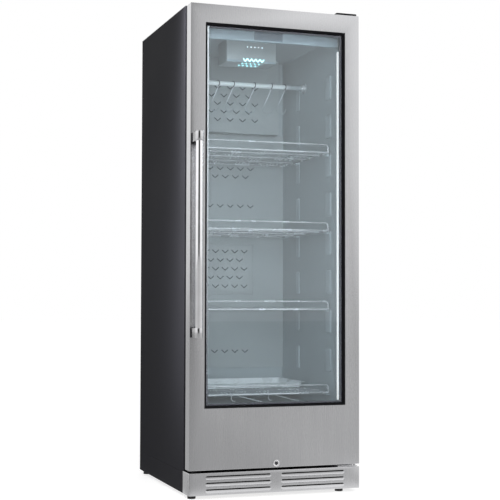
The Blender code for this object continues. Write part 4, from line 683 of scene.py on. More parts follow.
class CabinetStudio(bpy.types.PropertyGroup):
    """The camera's place and the strength of the lamps."""

    lens: number("Lens", "Focal length in millimetres", 87.476)
    place: bpy.props.FloatVectorProperty(name="Camera", description="Camera's place", size=3, unit="LENGTH",
                                         default=(-1.38509, FACE - 3.76897, 0.64425))
    yaw: number("Yaw", "Camera's turn from +Y towards +X", 0.33036, unit="ROTATION")
    pitch: number("Pitch", "Camera's tilt upwards", 0.04039, unit="ROTATION")
    roll: number("Roll", "Camera's roll", 0.00237, unit="ROTATION")
    key_power: number("Key", "Power of the key light in watts", 42.0)
    edge_power: number("Edge", "Power of the edge light in watts", 5.2)
    front_power: number("Front", "Power of the front light in watts", 47.0)
    ambient: number("Ambient", "Strength of the light from all round", 0.5)


def sizes():
    """The sizes as they are set in the scene."""
    return bpy.context.scene.cabinet_sizes


def soft_light(name, place, target, wide, tall, power):
    """A rectangular area light that faces a point."""
    deselect()
    bpy.ops.object.light_add(type="AREA", location=place)
    lamp = bpy.context.object
    lamp.name = name
    lamp.data.shape = "RECTANGLE"
    lamp.data.size, lamp.data.size_y = wide, tall
    lamp.data.energy = power
    lamp.visible_glossy = False
    lamp.rotation_euler = (Vector(target) - Vector(place)).to_track_quat("-Z", "Y").to_euler()


def directions(tree, kind):
    """Texture coordinates split into parts, and the dim gap that they point at."""
    way = split(tree, coordinates(tree, kind))
    return way, use(tree, "gap", X=way["X"], Y=way["Y"])


def rays(tree):
    """The light path, and whether the camera sees the surface, through glass as well."""
    path = add(tree, "LightPath").outputs
    return path, calc(tree, "MAXIMUM", path["Is Camera Ray"], path["Is Transmission Ray"])


def studio_world(ambient):
    """White to the camera, with a dim gap where the camera stands so that metal shows contrast."""
    world = bpy.data.worlds.new("studio")
    bpy.context.scene.world = world
    world.use_nodes = True
    tree = world.node_tree
    way, gap = directions(tree, "Generated")
    lift = ranged(tree, way["Z"], 0.8, 1.25, -0.2, 0.4)
    room = calc(tree, "MULTIPLY", calc(tree, "MULTIPLY", gap["Wide"], gap["Core"]), lift)
    path, seen = rays(tree)
    shiny = calc(tree, "MULTIPLY", path["Is Glossy Ray"], room)
    dim = calc(tree, "MULTIPLY", calc(tree, "SUBTRACT", 1.0, path["Is Glossy Ray"]), ambient)
    back = tree.nodes["Background"]
    back.inputs["Color"].default_value = (1.0, 1.0, 1.0, 1.0)
    feed(tree, back, Strength=calc(tree, "MAXIMUM", seen, calc(tree, "ADD", shiny, dim)))


def floor_finish():
    """A pale floor that is white to the camera, keeps the object's shadow and looks dim in the metal."""
    material, tree, shader = blank("pale_floor", Roughness=0.6)
    cloud = use(tree, "mottle", Size=0.8, Grain=60.0)
    feed(tree, shader, Base_Color=blended(tree, cloud["Cloud"], (0.8, 0.8, 0.8), (0.83, 0.83, 0.83)),
         Normal=raised(tree, cloud["Grain"], 0.1, 0.0002))
    glow = add(tree, "Emission", {"Color": (1.0, 1.0, 1.0, 1.0), "Strength": 1.42}).outputs[0]
    path, seen = rays(tree)
    bright = mixed(tree, calc(tree, "MULTIPLY", seen, 0.55), shader.outputs[0], glow)
    way, gap = directions(tree, "Object")
    near = ranged(tree, way["Y"], 0.0, 0.6, FACE - 0.2, FACE - 0.06)
    beside = ranged(tree, way["X"], start=-0.36, end=-0.28)
    level = calc(tree, "ADD", ranged(tree, beside, 0.28, 0.36), calc(tree, "MULTIPLY", near, beside))
    level = calc(tree, "ADD", level, calc(tree, "MULTIPLY", gap["Wide"], 0.275))
    dim = add(tree, "Emission", {"Strength": level}).outputs[0]
    surface(tree, mixed(tree, path["Is Glossy Ray"], bright, dim))
    return material


class CABINET_OT_stage(bpy.types.Operator):
    """Set the camera, the lamps, the pale floor and the white surroundings"""

    bl_idname = "cabinet.stage"
    bl_label = "Stage"

    def execute(self, context):
        studio = context.scene.cabinet_studio
        make_finishes(context.scene.cabinet_colours)
        deselect()
        bpy.ops.object.camera_add()
        camera = context.object
        camera.name = "photograph_view"
        camera.data.lens = studio.lens
        camera.matrix_world = (Matrix.Translation(studio.place) @ Matrix.Rotation(-studio.yaw, 4, "Z")
                               @ Matrix.Rotation(pi / 2 + studio.pitch, 4, "X")
                               @ Matrix.Rotation(studio.roll, 4, "Z"))
        context.scene.camera = camera
        context.scene.view_settings.view_transform = "Standard"

        edge = FACE + 0.025
        soft_light("key_light", (2.3, -2.7, 2.5), (0.0, -0.2, 0.8), 1.8, 1.8, studio.key_power)
        soft_light("edge_light", (-0.45, edge, 0.98), (0.55, edge, 0.83), 0.04, 1.45, studio.edge_power)
        soft_light("front_light", (-0.5, -2.6, 1.2), (-0.1, 0.0, 0.85), 1.4, 1.8, studio.front_power)
        studio_world(studio.ambient)

        floor = primitive("plane", "studio_floor", size=60.0, location=(0.0, 0.0, 0.0))
        with editing(floor):
            everything()
            bpy.ops.mesh.subdivide(number_cuts=3)
        floor.data.materials.append(floor_finish())
        return {"FINISHED"}


# outside

class CABINET_OT_body(bpy.types.Operator):
    """Dress the shell, the back, the base and the machinery"""

    bl_idname = "cabinet.body"
    bl_label = "Body"

    def execute(self, context):
        dress("black_painted_steel", "back_panel", "compartment_cover", "compressor", "outer_shell",
              "base_chassis")
        dress("black_plastic", "power_inlet", "drip_tray", "evaporator_fan_frame", "condenser_fan_frame")
        dress("rigid_foam", "insulation_foam")
        dress("grey_liner", "door_core")
        dress("plated_steel", "top_hinge_plate", "bottom_hinge_bracket")
        dress("pale_plastic", "evaporator_fan_wheel", "condenser_fan_wheel")
        dress("fin_aluminium", "evaporator_coil", "condenser_coil")
        return {"FINISHED"}


class CABINET_OT_feet(bpy.types.Operator):
    """Model a leveling foot for each corner: pad, nut and stud"""

    bl_idname = "cabinet.feet"
    bl_label = "Leveling feet"

    def execute(self, context):
        pad_tall, shoulder, sunk = 0.0095, 0.003, 0.0012
        nut_middle, nut_tall, nut_radius = 0.0098, 0.0036, 0.0085
        stud_start, stud_radius = 0.009, 0.004
        for corner in ("front_left", "front_right", "rear_left", "rear_right"):
            low, high = span(f"leveling_foot_{corner}")
            centre, radius = (low + high) / 2, (high.x - low.x) / 2
            pad = rod("pad", (centre.x, centre.y, low.z + pad_tall / 2), radius, pad_tall, sides=48)
            with editing(pad):
                pick(pad, "faces", lambda f: facing(f, 2, 1))
                bpy.ops.mesh.inset(thickness=shoulder)
                extrude(0.0, 0.0, -sunk)
            round_edges(pad, 0.001, 3)
            nut = rod("nut", (centre.x, centre.y, low.z + nut_middle), nut_radius, nut_tall, sides=6)
            round_edges(nut, 0.0005, 2)
            stud = rod("stud", (centre.x, centre.y, (low.z + stud_start + high.z) / 2), stud_radius,
                       high.z - low.z - stud_start, sides=24)
            round_edges(stud, 0.0006, 2)
            foot = join(f"round_foot_{corner}", [pad, nut, stud])
            settle(foot, f"foot_{corner}", "black_rubber", "black_rubber", f"leveling_foot_{corner}")
        return {"FINISHED"}


class CABINET_OT_hinge_cover(bpy.types.Operator):
    """Model the black cap over the top hinge"""

    bl_idname = "cabinet.hinge_cover"
    bl_label = "Hinge cover"

    def execute(self, context):
        low, high = span("top_hinge_cover")
        lowered, corner, wall = 0.0022, 0.003, 0.0012
        high.z -= lowered
        cap = block("hinge_cap", low, high)
        with editing(cap):
            bevel(cap, corner, 5, lambda e: along(e, 2))
            bevel(cap, wall, 3, lambda e: all(v.co.z > high.z - CLOSE for v in e.verts)
                  and not all(facing(f, 2, 1) for f in e.link_faces))
            open_up(cap, lambda f: facing(f, 2, -1))
        settle(thicken(cap, wall), "cabinet", "matt_black", "black_plastic", "top_hinge_cover")
        return {"FINISHED"}


LOUVRE_SIDES = (-0.13, 0.13)
LOUVRE_TOPS = (0.0705, 0.0493, 0.0281)


class CABINET_OT_kick_plate(bpy.types.Operator):
    """Model the kick plate with its two groups of pressed louvres"""

    bl_idname = "cabinet.kick_plate"
    bl_label = "Kick plate"

    def plinth(self, low, high, sheet):
        """The folded sheet, open behind and below."""
        plate = block("plinth", (low.x, FACE, low.z), high)
        near, top = FACE + NEAR, high.z - NEAR
        with editing(plate):
            bevel(plate, 0.0015, 3, lambda e: middle(e).y < near and (along(e, 2) or middle(e).z > top)
                  or along(e, 1) and middle(e).z > top)
            open_up(plate, lambda f: facing(f, 2, -1) or facing(f, 1, 1))
        return thicken(plate, sheet)

    def hood(self, reach, end, tall, sheet):
        """A quarter of a ball, drawn out along X."""
        hood = primitive("uv_sphere", "hood", segments=24, ring_count=13, radius=1.0,
                         rotation=(0.0, pi / 2, 0.0))
        with editing(hood, "VERT"):
            everything()
            bpy.ops.transform.resize(value=(end, sizes().louvre_proud, tall))
            for normal in ((0.0, 1.0, 0.0), (0.0, 0.0, 1.0)):
                everything()
                bpy.ops.mesh.bisect(plane_co=(0.0, 0.0, 0.0), plane_no=normal, clear_outer=True)
            pick(hood, "verts", lambda v: v.co.x > 0)
            shift(reach, 0.0, 0.0)
            pick(hood, "verts", lambda v: v.co.x < 0)
            shift(-reach, 0.0, 0.0)
            everything()
            bpy.ops.mesh.normals_make_consistent(inside=False)
        return thicken(hood, sheet)

    def execute(self, context):
        low, high = span("kick_plate")
        sheet = sizes().skin_sheet
        plate = self.plinth(low, high, sheet)
        half, tall, end, slit, overlap, through = 0.114, 0.0105, 0.011, 0.0036, 0.0004, 0.01
        hood = self.hood(half - end, end, tall, sheet * 0.8)
        hoods = []
        for side in LOUVRE_SIDES:
            for row, top in enumerate(LOUVRE_TOPS):
                slot = block("slit", (side - half + end / 3, FACE - through, top - tall / 2),
                             (side + half - end / 3, FACE + through, top + slit))
                cut(plate, bevel_along(slot, 1, slit, 4))
                place = Matrix.Translation((side, FACE + overlap, top))
                hoods.append(copy_of(hood, f"hood_{side}_{row}", place))
        bpy.data.objects.remove(hood)
        left, right, front, back = -0.01, 0.028, FACE + 0.0455, FACE + 0.0515
        cut(plate, block("cam_passage", (left, front, high.z - through), (right, back, high.z + through)))
        settle(join("louvred_plinth", [plate, *hoods]), "cabinet", "brushed_steel", "brushed_steel",
               "kick_plate", smooth=40)
        return {"FINISHED"}


# door

LOCK_HEIGHT, LOCK_BORE = 0.1065, 0.0063
STILE, TOP_RAIL, BOTTOM_RAIL = 0.0506, 0.0611, 0.1982

# the left, right, lower and upper edge of two openings
GLASS_OPENING = (-0.2394, 0.2362, 0.2995, 1.5381)
SPACER_OPENING = (-0.2329, 0.2329, 0.3044, 1.5339)


def hoop(name, low, high, opening):
    """A flat frame round an opening."""
    left, right, bottom, top = opening
    margin = 0.01
    tool = block("opening", (left, low[1] - margin, bottom), (right, high[1] + margin, top))
    return cut(block(name, low, high), tool)


class CABINET_OT_door(bpy.types.Operator):
    """Fold the door's steel skin and dress its frame, panes and seal"""

    bl_idname = "cabinet.door"
    bl_label = "Door"

    def skin(self):
        """The folded sheet round the glass, open behind."""
        skin = block("folded_skin", DOOR_LOW, DOOR_HIGH)
        with editing(skin):
            open_up(skin, lambda f: facing(f, 1, 1))
            pick(skin, "faces", lambda f: facing(f, 1, -1))
            bpy.ops.mesh.inset(thickness=STILE)
            for edge, move in ((DOOR_LOW.z + STILE, BOTTOM_RAIL - STILE),
                               (DOOR_HIGH.z - STILE, STILE - TOP_RAIL)):
                pick(skin, "edges", lambda e: along(e, 0) and abs(middle(e).z - edge) < NEAR)
                shift(0.0, 0.0, move)
            bevel(skin, sizes().fold_radius, 4,
                  lambda e: len(e.link_faces) == 2 and e.calc_face_angle() > 1.0)
            open_up(skin, lambda f: facing(f, 1, -1) and abs(f.calc_center_median().x) < 0.01
                    and f.calc_area() > 0.3)
        thicken(skin, sizes().skin_sheet)
        return cut(skin, rod("lock_hole", (0.0, FACE, LOCK_HEIGHT), LOCK_BORE, 0.02, "Y"))

    def execute(self, context):
        settle(self.skin(), "door", "brushed_steel", "brushed_steel", "door_skin")
        border = softened("glazing_frame", "rounded_glazing_frame", 0.0004)
        settle(border, "door", "matt_black", "black_plastic", "glazing_frame")
        dress("tinted_glass", "outer_glass", "inner_glass")
        low, high = span("outer_glass")
        far, near = 0.00025, 0.00005
        ring = hoop("black_glass_border", (low.x, low.y - far, low.z), (high.x, low.y - near, high.z),
                    GLASS_OPENING)
        settle(round_edges(ring, 0.00005, 1), "door", "matt_black", "black_plastic")
        bar = hoop("pierced_glass_spacer", *span("glass_spacer"), SPACER_OPENING)
        settle(round_edges(bar, 0.0006, 2), "door", "spacer_aluminium", "spacer_aluminium", "glass_spacer")
        dress("black_rubber", "door_gasket")
        return {"FINISHED"}


class CABINET_OT_handle(bpy.types.Operator):
    """Model the bar handle with its two posts and their black feet"""

    bl_idname = "cabinet.handle"
    bl_label = "Handle"

    def execute(self, context):
        low, high = span("handle_bar")
        centre, radius = (low + high) / 2, (high.x - low.x) / 2
        bar = rod("polished_handle_bar", centre, radius, high.z - low.z, sides=64)
        border, dish = 0.0035, 0.0004
        with editing(bar):
            for sign in (-1, 1):
                pick(bar, "faces", lambda f: facing(f, 2, sign))
                bpy.ops.mesh.inset(thickness=border)
                shift(0.0, 0.0, -sign * dish)
        settle(round_edges(bar, 0.0012, 3), "door", "mirror_steel", "bright_steel", "handle_bar")

        half, softening, play, through = 0.012, 0.0008, 0.0002, 0.1
        left, right, base = centre.x - half, centre.x + half, FACE - sizes().foot_pad
        for which in ("lower", "upper"):
            low, high = span(f"handle_post_{which}")
            hub = (centre.x, centre.y, (low.z + high.z) / 2)
            collar = rod("collar", hub, centre.y - low.y, high.z - low.z, sides=64)
            round_edges(collar, softening, 3)
            arm = block(f"handle_arm_{which}", (left, centre.y, low.z), (right, base, high.z))
            merge(round_edges(arm, softening, 3), "UNION", collar)
            cut(arm, rod("bore", hub, radius + play, through, sides=64))
            settle(arm, "door", "bright_steel", "bright_steel", f"handle_post_{which}")
            pad = block(f"handle_foot_{which}", (left, base, low.z), (right, FACE, high.z))
            settle(bevel_along(pad, 1, 0.001, 3), "door", "matt_black", "black_plastic")
        return {"FINISHED"}


class CABINET_OT_lock(bpy.types.Operator):
    """Model the lock's ring, and its barrel with the keyhole and the cam"""

    bl_idname = "cabinet.lock"
    bl_label = "Lock"

    def execute(self, context):
        low, high = span("lock_ring")
        centre = (low + high) / 2
        border, dish, softening, through = 0.0032, 0.0005, 0.0005, 0.05
        ring = rod("bevelled_lock_ring", centre, (high.x - low.x) / 2, high.y - low.y, "Y", 48)
        with editing(ring):
            pick(ring, "faces", lambda f: facing(f, 1, -1))
            bpy.ops.mesh.inset(thickness=border)
            shift(0.0, dish, 0.0)
        cut(ring, rod("ring_bore", centre, LOCK_BORE, through, "Y", 48))
        settle(round_edges(ring, softening, 3), "door", "lock_steel", "bright_steel", "lock_ring")

        low, high = span("lock_cylinder")
        radius, cam_thick, cam_half = 0.006, 0.002, 0.005
        key_half, key_tall, key_deep, margin = 0.0009, 0.0035, 0.007, 0.01
        barrel = rod("barrel", (centre.x, (low.y + high.y - cam_thick) / 2, centre.z), radius,
                     high.y - low.y - cam_thick, "Y", 40)
        round_edges(barrel, softening, 3)
        cut(barrel, block("keyhole", (-key_half, low.y - margin, centre.z - key_tall),
                          (key_half, low.y + key_deep, centre.z + key_tall)))
        cam = block("cam", (-cam_half, high.y - cam_thick, centre.z - cam_half),
                    (high.x, high.y, centre.z + cam_half))
        lock = join("keyed_barrel", [barrel, bevel_along(cam, 1, 0.0045, 5)])
        settle(lock, "lock", "barrel_steel", "plated_steel", "lock_cylinder")
        return {"FINISHED"}


# inside

RIB_PLACES = ((0.145, 0.048), (0.449, 0.03))
RIB_TALL, RIB_PROUD = 0.082, 0.003
LEVELS = [1.4287 - step * 0.1366 for step in range(8)]
SHELF_LEVELS = (1.1555, 0.8823, 0.6091, 0.3209)


class CABINET_OT_liner(bpy.types.Operator):
    """Mould the inner liner with its ribs and the lugs under the shelves"""

    bl_idname = "cabinet.liner"
    bl_label = "Liner"

    def ribs(self, start, wide, wall):
        """A column of ribs on each side wall."""
        pad = block("rib", (-RIB_PROUD, FACE + start, -RIB_TALL), (0.0, FACE + start + wide, 0.0))
        with editing(pad):
            bevel(pad, wide / 5, 5, lambda e: along(e, 0))
            bevel(pad, 0.002, 3, lambda e: all(v.co.x < CLOSE - RIB_PROUD for v in e.verts)
                  and len({facing(f, 0, -1) for f in e.link_faces}) == 2)
        copies = []
        for hand in (-1, 1):
            for level in LEVELS:
                place = Matrix.Translation((hand * wall, 0.0, level)) @ Matrix.Diagonal((hand, 1.0, 1.0, 1.0))
                copies.append(copy_of(pad, "rib_copy", place))
                if hand < 0:
                    with editing(copies[-1]):
                        everything()
                        bpy.ops.mesh.flip_normals()
        bpy.data.objects.remove(pad)
        return copies

    def lugs(self, start, wide, wall):
        """A small lug on each side wall under every shelf."""
        centre, half, tall, deep, sunk = FACE + start + wide / 2, 0.012, 0.007, 0.014, 0.0033
        lugs = []
        for hand in (-1, 1):
            near, far = sorted((hand * (wall - deep), hand * wall))
            for level in SHELF_LEVELS:
                lug = block("lug", (near, centre - half, level - sunk - tall),
                            (far, centre + half, level - sunk))
                lugs.append(round_edges(lug, 0.0015, 3))
        return lugs

    def execute(self, context):
        low, high = span("inner_liner")
        wall, sunk = 0.002, 0.0005
        inside_low = Vector((low.x + wall, low.y, low.z + wall))
        inside_high = Vector((high.x - wall, high.y - wall, high.z - wall))
        shell = block("moulded_liner", inside_low, inside_high)
        with editing(shell):
            bevel(shell, sizes().liner_corner, 4,
                  lambda e: not all(v.co.y < inside_low.y + NEAR for v in e.verts))
            open_up(shell, lambda f: facing(f, 1, -1))
            everything()
            bpy.ops.mesh.flip_normals()
        thicken(shell, wall)
        pieces = [piece for make in (self.ribs, self.lugs) for start, wide in RIB_PLACES
                  for piece in make(start, wide, inside_high.x + sunk)]
        ribs = join("liner_ribs", pieces)
        settle(shell, "cabinet", "grey_liner", "grey_liner", "inner_liner")
        # ribs and lugs take a lighter copy of the liner: painted highlight
        settle(ribs, "cabinet", "ribs_painted_lighter", "grey_liner", smooth=50)
        dress("grey_liner", "front_frame")
        return {"FINISHED"}


class CABINET_OT_air_guides(bpy.types.Operator):
    """Dress the covers of the air ducts, with dark sheets behind their slots as painted shade"""

    bl_idname = "cabinet.air_guides"
    bl_label = "Air guides"

    def execute(self, context):
        for node, finish in (("evaporator_cover", "grey_sheet"), ("filter_cover", "filter_sheet")):
            settle(softened(node, f"folded_{node}", 0.0006), "cabinet", finish, "grey_sheet", node)
        dress("grey_sheet", "rear_air_panel")
        # a dark sheet behind each cover stands for the shade seen through its slots: painted shade
        behind, thick, margin = 0.0016, 0.0006, 0.004
        for node in ("evaporator_cover", "filter_cover", "rear_air_panel"):
            low, high = span(node)
            back = low.y + behind
            painted_shade_sheet = block(f"lining_of_{node}", (low.x + margin, back, low.z + margin),
                           (high.x - margin, back + thick, high.z - margin))
            settle(round_edges(painted_shade_sheet, 0.0002, 1), "cabinet", "slot_shadow", "grey_sheet")
        return {"FINISHED"}


STRIP_DEEP = 0.0148
GRILLE_LEFT, GRILLE_RIGHT = -0.031, 0.047
DOTS, DOT_START, DOT_STEP, DOT_HEIGHT, DOT_RADIUS, DOT_SUNK = 5, -0.0155, 0.0137, 1.533, 0.0018, 0.0008


class CABINET_OT_lights(bpy.types.Operator):
    """Model the light strips and the lamp housing with its lit holes and grille"""

    bl_idname = "cabinet.lights"
    bl_label = "Lights"

    def zigzag(self, low, high, axis, swing, segments=10):
        """A bar across the grille whose odd steps swing out along another axis."""
        bar = block("zigzag", (GRILLE_LEFT, *low), (GRILLE_RIGHT, *high))
        pitch = (GRILLE_RIGHT - GRILLE_LEFT) / segments
        with editing(bar):
            pick(bar, "edges", lambda e: along(e, 0))
            bpy.ops.mesh.subdivide(number_cuts=segments - 1)
            pick(bar, "verts", lambda v: round((v.co.x - GRILLE_LEFT) / pitch) % 2 == 1)
            shift(*(swing * (index == axis) for index in range(3)))
        return bar

    def housing(self, low, high):
        """The bent sheet round the lamp, open above, with a grille in front and two below."""
        sheet, corner, margin = 0.0012, 0.004, 0.006
        bottom, top, front_swing = low.z + 0.0105, low.z + 0.015, -0.0085
        lower_starts, lower_wide, lower_swing = (low.y + 0.006, low.y + 0.044), 0.013, 0.024
        housing = block("pierced_lamp_housing", low, high)
        with editing(housing):
            bevel(housing, corner, 4, lambda e: along(e, 2))
            open_up(housing, lambda f: facing(f, 2, 1))
        thicken(housing, sheet)
        cut(housing, self.zigzag((low.y - margin, bottom), (low.y + margin, top), 2, front_swing))
        for y in lower_starts:
            cut(housing, self.zigzag((y, low.z - margin), (y + lower_wide, low.z + margin), 1, lower_swing))
        return housing

    def execute(self, context):
        for side in ("left", "right"):
            low, high = span(f"light_strip_{side}")
            seam = low.y + STRIP_DEEP
            strip = round_edges(block(f"lit_strip_{side}", low, (high.x, seam, high.z)), 0.0021, 4)
            settle(strip, "cabinet", "white_diffuser", "white_diffuser", f"light_strip_{side}", smooth=60)
            seat = round_edges(block(f"strip_seat_{side}", (low.x, seam, low.z), high), 0.0012, 3)
            settle(seat, "cabinet", "grey_sheet", "white_diffuser")

        low, high = span("lamp_housing")
        housing, dots, softening = self.housing(low, high), [], 0.0003
        for index in range(DOTS):
            x = DOT_START + index * DOT_STEP
            cut(housing, rod("dot_hole", (x, low.y, DOT_HEIGHT), DOT_RADIUS + CLOSE, 0.01, "Y", 16))
            dot = rod("dot", (x, low.y + DOT_SUNK, DOT_HEIGHT), DOT_RADIUS, 0.0012, "Y", 16)
            dots.append(round_edges(dot, softening, 2))
        round_edges(housing, softening, 2)
        settle(housing, "cabinet", "grey_sheet", "grey_sheet", "lamp_housing")
        settle(join("lit_dots", dots), "cabinet", "warm_dots", "white_diffuser")

        gap, proud, tall = 0.003, 0.0006, 0.007
        rims = [block("rim", (start, low.y - proud, low.z), (end, low.y - CLOSE, low.z + tall))
                for start, end in ((low.x + gap, GRILLE_LEFT - gap), (GRILLE_RIGHT + gap, high.x - gap))]
        settle(round_edges(join("lamp_rim", rims), 0.0002, 2), "cabinet", "pale_plastic", "grey_sheet")
        reach, near, far = 0.004, low.y + 0.002, high.y - 0.003
        for name, finish, start, end, bottom, top in (
                ("lamp_glow_front", "grille_glow", near, near + 0.002, 0.0015, 0.0175),
                ("lamp_glow_panel", "air_glow", near + 0.0025, far, 0.004, 0.0065)):
            glow = block(name, (GRILLE_LEFT - reach, start, low.z + bottom),
                         (GRILLE_RIGHT + reach, end, low.z + top))
            settle(round_edges(glow, 0.0008, 2), "cabinet", finish, "white_diffuser")
        dress("white_diffuser", "air_lamp")
        return {"FINISHED"}


class CABINET_OT_control_panel(bpy.types.Operator):
    """Dress the control panel and its blank window, with softened edges"""

    bl_idname = "cabinet.control_panel"
    bl_label = "Control panel"

    def execute(self, context):
        panel = softened("control_panel", "softened_control_panel", 0.0008, 3)
        settle(panel, "cabinet", "pale_plastic", "pale_plastic", "control_panel")
        dress("dark_window", "display_window")
        return {"FINISHED"}


# the cross rods' places as shares of the shelf's depth
CROSS_RODS = (0.19, 0.47, 0.76)


class CABINET_OT_shelves(bpy.types.Operator):
    """Bend and weld one wire shelf and copy it to the four levels"""

    bl_idname = "cabinet.shelves"
    bl_label = "Wire shelves"

    def rim(self, half, front, back, radius):
        """The rod round the shelf, with bent corners."""
        corner, upward = 0.006, (0.0, 0.0, 1.0)
        across, deep = 2 * (half - corner), back - front - 2 * corner
        moves = []
        for (x, y), way in (((1, 0), (across, 0.0)), ((1, 1), (0.0, deep)), ((0, 1), (-across, 0.0)),
                            ((0, 0), (0.0, -deep))):
            centre = ((half - corner) * (2 * x - 1), (back - corner) if y else (front + corner), 0.0)
            moves += [("go", (*way, 0.0)), ("turn", centre, upward, pi / 2, 6)]
        return wire("rim", (corner - half, front, 0.0), (1.0, 0.0, 0.0), radius, moves, sides=14, closed=True)

    def guard(self, foot, front, size):
        """The raised rod along the front, on two bent uprights."""
        bend, forward = 0.012, (0.0, 1.0, 0.0)
        top = size.guard_rise - bend
        return wire("guard", (-foot, front, 0.0), (0.0, 0.0, 1.0), size.guard_radius, [
            ("go", (0.0, 0.0, top)), ("turn", (bend - foot, front, top), forward, pi / 2, 6),
            ("go", (2 * (foot - bend), 0.0, 0.0)), ("turn", (foot - bend, front, top), forward, pi / 2, 6),
            ("go", (0.0, 0.0, -top)),
        ])

    def execute(self, context):
        size = sizes()
        low, high = span("shelf_1")
        radius, wire_radius, weld = size.frame_radius, size.wire_radius, 0.0008
        half, front, back = high.x - radius, low.y + radius, high.y - radius
        inset, cross_radius, cross_drop, overhang = 0.004, 0.0025, 0.0002, 0.003
        foot = half - inset
        parts = [self.rim(half, front, back, radius), self.guard(foot, front, size)]
        for share in CROSS_RODS:
            place = (0.0, front + (back - front) * share, -cross_drop)
            parts.append(rod("cross", place, cross_radius, 2 * half, "X", 14))
        reach = foot - size.guard_radius - inset
        wires = rod("wire", (-reach, (front + back) / 2, radius + wire_radius - weld), wire_radius,
                    back - front + overhang, "Y", 10)
        round_edges(wires, 0.0004, 1)
        modify(wires, "ARRAY", count=size.wire_count, use_relative_offset=False, use_constant_offset=True,
               constant_offset_displace=(2 * reach / (size.wire_count - 1), 0.0, 0.0))
        shelf = join("welded_shelf", [*parts, wires])
        for index, level in enumerate(SHELF_LEVELS, 1):
            twin = copy_of(shelf, f"welded_shelf_{index}", Matrix.Translation((0.0, 0.0, level)))
            settle(twin, f"shelf_{index}", "plated_steel", "plated_steel", f"shelf_{index}", smooth=60)
        bpy.data.objects.remove(shelf)
        return {"FINISHED"}


class CABINET_OT_tray(bpy.types.Operator):
    """Press the shallow salt tray with its turned-out rim"""

    bl_idname = "cabinet.tray"
    bl_label = "Salt tray"

    def execute(self, context):
        low, high = span("salt_tray")
        rim, taper, wall, corner, fold = 0.008, 0.006, 0.001, 0.016, 0.003
        wide, deep = high.x - low.x - 2 * rim, high.y - low.y - 2 * rim
        tray = block("pressed_salt_tray", (low.x + rim, low.y + rim, low.z),
                     (high.x - rim, high.y - rim, high.z))
        with editing(tray):
            bevel(tray, corner, 6, lambda e: along(e, 2))
            open_up(tray, lambda f: facing(f, 2, 1))
            floor = low.z + CLOSE
            pick(tray, "verts", lambda v: v.co.z < floor)
            bpy.ops.transform.resize(value=(1 - 2 * taper / wide, 1 - 2 * taper / deep, 1.0))
            bevel(tray, fold, 4, lambda e: all(v.co.z < floor for v in e.verts) and len(e.link_faces) == 2)
            pick(tray, "edges", lambda e: len(e.link_faces) == 1)
            bpy.ops.mesh.extrude_edges_move(TRANSFORM_OT_translate={"value": (0.0, 0.0, 0.0)})
            bpy.ops.transform.resize(value=(1 + 2 * rim / wide, 1 + 2 * rim / deep, 1.0))
        round_edges(thicken(tray, wall), 0.0003, 2, 50)
        settle(tray, "salt_tray", "tray_steel", "bright_steel", "salt_tray")
        return {"FINISHED"}


# each hook's place along the rail and its turn in degrees
HOOKS = ((-0.082, 25), (-0.024, 18), (0.059, 5), (0.127, -8), (0.176, 12))


def bent_hook(name):
    """One hook about the rail's axis: a loop over the rail, a leaning shank and a belly to the side."""
    radius, loop, steps = sizes().hook_radius, 0.0118, 14
    first, sweep = radians(-25), radians(205)
    belly, lean, depth, play = 0.019, 0.034, 0.083, 0.0003
    drop = sizes().rail_radius + play + radius - loop * cos(sweep / steps)
    start = (0.0, loop * cos(first), drop + loop * sin(first))
    return wire(name, start, (0.0, -sin(first), cos(first)), radius, [
        ("turn", (0.0, 0.0, drop), (1.0, 0.0, 0.0), sweep, steps),
        ("go", (-lean, loop, -depth - drop)),
        ("turn", (belly - lean, 0.0, -depth), (0.0, -1.0, 0.0), radians(190), steps),
    ])


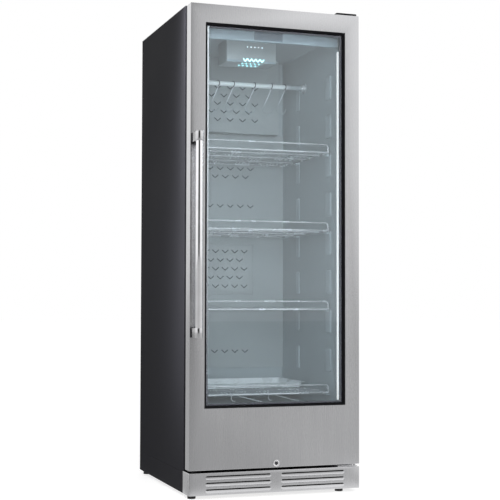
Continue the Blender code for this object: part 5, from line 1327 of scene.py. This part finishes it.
class CABINET_OT_rail_and_hooks(bpy.types.Operator):
    """Model the hanging rail, its two cups and the bent hooks"""

    bl_idname = "cabinet.rail_and_hooks"
    bl_label = "Rail and hooks"

    def cup(self, side, hand, centre, radius):
        """A round flange on the wall with a mouth that takes the rail's end."""
        low, high = span(f"rail_bracket_{side}")
        wall, mouth = (high.x, low.x) if hand > 0 else (low.x, high.x)
        flange, thick, border, play, deep = 0.019, 0.003, 0.0077, 0.0003, 0.012
        cup = rod(f"rail_cup_{side}", (wall - hand * thick / 2, centre.y, centre.z), flange, thick, "X", 48)
        with editing(cup):
            pick(cup, "faces", lambda f: facing(f, 0, -hand))
            bpy.ops.mesh.inset(thickness=border)
            extrude(mouth - wall + hand * thick, 0.0, 0.0)
        cut(cup, rod("bore", (mouth + hand * deep / 2, centre.y, centre.z), radius + play, deep, "X", 48))
        settle(round_edges(cup, 0.0008, 3), "cabinet", "plated_steel", "plated_steel", f"rail_bracket_{side}")

    def execute(self, context):
        low, high = span("hanging_rail")
        centre, radius = (low + high) / 2, sizes().rail_radius
        rail = rod("polished_rail", centre, radius, high.x - low.x, "X", 48)
        settle(round_edges(rail, 0.0008, 3), "cabinet", "rail_steel", "bright_steel", "hanging_rail")
        for side, hand in (("left", -1), ("right", 1)):
            self.cup(side, hand, centre, radius)

        hook = bent_hook("hook_pattern")
        for index, (x, turn) in enumerate(HOOKS, 1):
            place = Matrix.Translation((x, centre.y, centre.z)) @ Matrix.Rotation(radians(turn), 4, "Z")
            twin = copy_of(hook, f"bent_hook_{index}", place)
            settle(twin, f"hook_{index}", "hook_steel", "bright_steel", f"hook_{index}", smooth=60)
        tilt = radians(7.5)
        flat = Matrix.Rotation(tilt - pi / 2, 4, "Y") @ Matrix.Rotation(pi / 2, 4, "Z")
        for index in (1, 2):
            low, high = span(f"spare_hook_{index}")
            twin = copy_of(hook, f"resting_hook_{index}", flat)
            lowest = Vector([min(v.co[i] for v in twin.data.vertices) for i in range(3)])
            twin.data.transform(Matrix.Translation(low - lowest))
            settle(twin, "cabinet", "tray_steel", "bright_steel", f"spare_hook_{index}", smooth=60)
        bpy.data.objects.remove(hook)
        return {"FINISHED"}


# the add-on

PIECES = (CABINET_OT_stage, CABINET_OT_body, CABINET_OT_feet, CABINET_OT_hinge_cover, CABINET_OT_kick_plate,
          CABINET_OT_door, CABINET_OT_handle, CABINET_OT_lock, CABINET_OT_liner, CABINET_OT_air_guides,
          CABINET_OT_lights, CABINET_OT_control_panel, CABINET_OT_shelves, CABINET_OT_tray,
          CABINET_OT_rail_and_hooks)


class CABINET_PT_pieces(bpy.types.Panel):
    """Lists the pieces of the cabinet"""

    bl_label = "Dry aging cabinet"
    bl_idname = "CABINET_PT_pieces"
    bl_space_type = "VIEW_3D"
    bl_region_type = "UI"
    bl_category = "Cabinet"

    def draw(self, context):
        for operator in PIECES:
            self.layout.operator(operator.bl_idname)
        scene = context.scene
        for settings in (scene.cabinet_sizes, scene.cabinet_colours, scene.cabinet_studio):
            for name in settings.__annotations__:
                self.layout.prop(settings, name)


CLASSES = (CabinetSizes, CabinetColours, CabinetStudio, *PIECES, CABINET_PT_pieces)


def register():
    """Make the settings, the operators and the panel known to Blender."""
    for item in CLASSES:
        bpy.utils.register_class(item)
    bpy.types.Scene.cabinet_sizes = bpy.props.PointerProperty(type=CabinetSizes)
    bpy.types.Scene.cabinet_colours = bpy.props.PointerProperty(type=CabinetColours)
    bpy.types.Scene.cabinet_studio = bpy.props.PointerProperty(type=CabinetStudio)


def unregister():
    """Take the settings, the operators and the panel away again."""
    for name in ("cabinet_sizes", "cabinet_colours", "cabinet_studio"):
        delattr(bpy.types.Scene, name)
    for item in reversed(CLASSES):
        bpy.utils.unregister_class(item)


def main():
    """Build every piece in order."""
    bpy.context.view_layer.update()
    register()
    for operator in PIECES:
        family, name = operator.bl_idname.split(".")
        getattr(getattr(bpy.ops, family), name)()


if __name__ == "__main__":
    main()
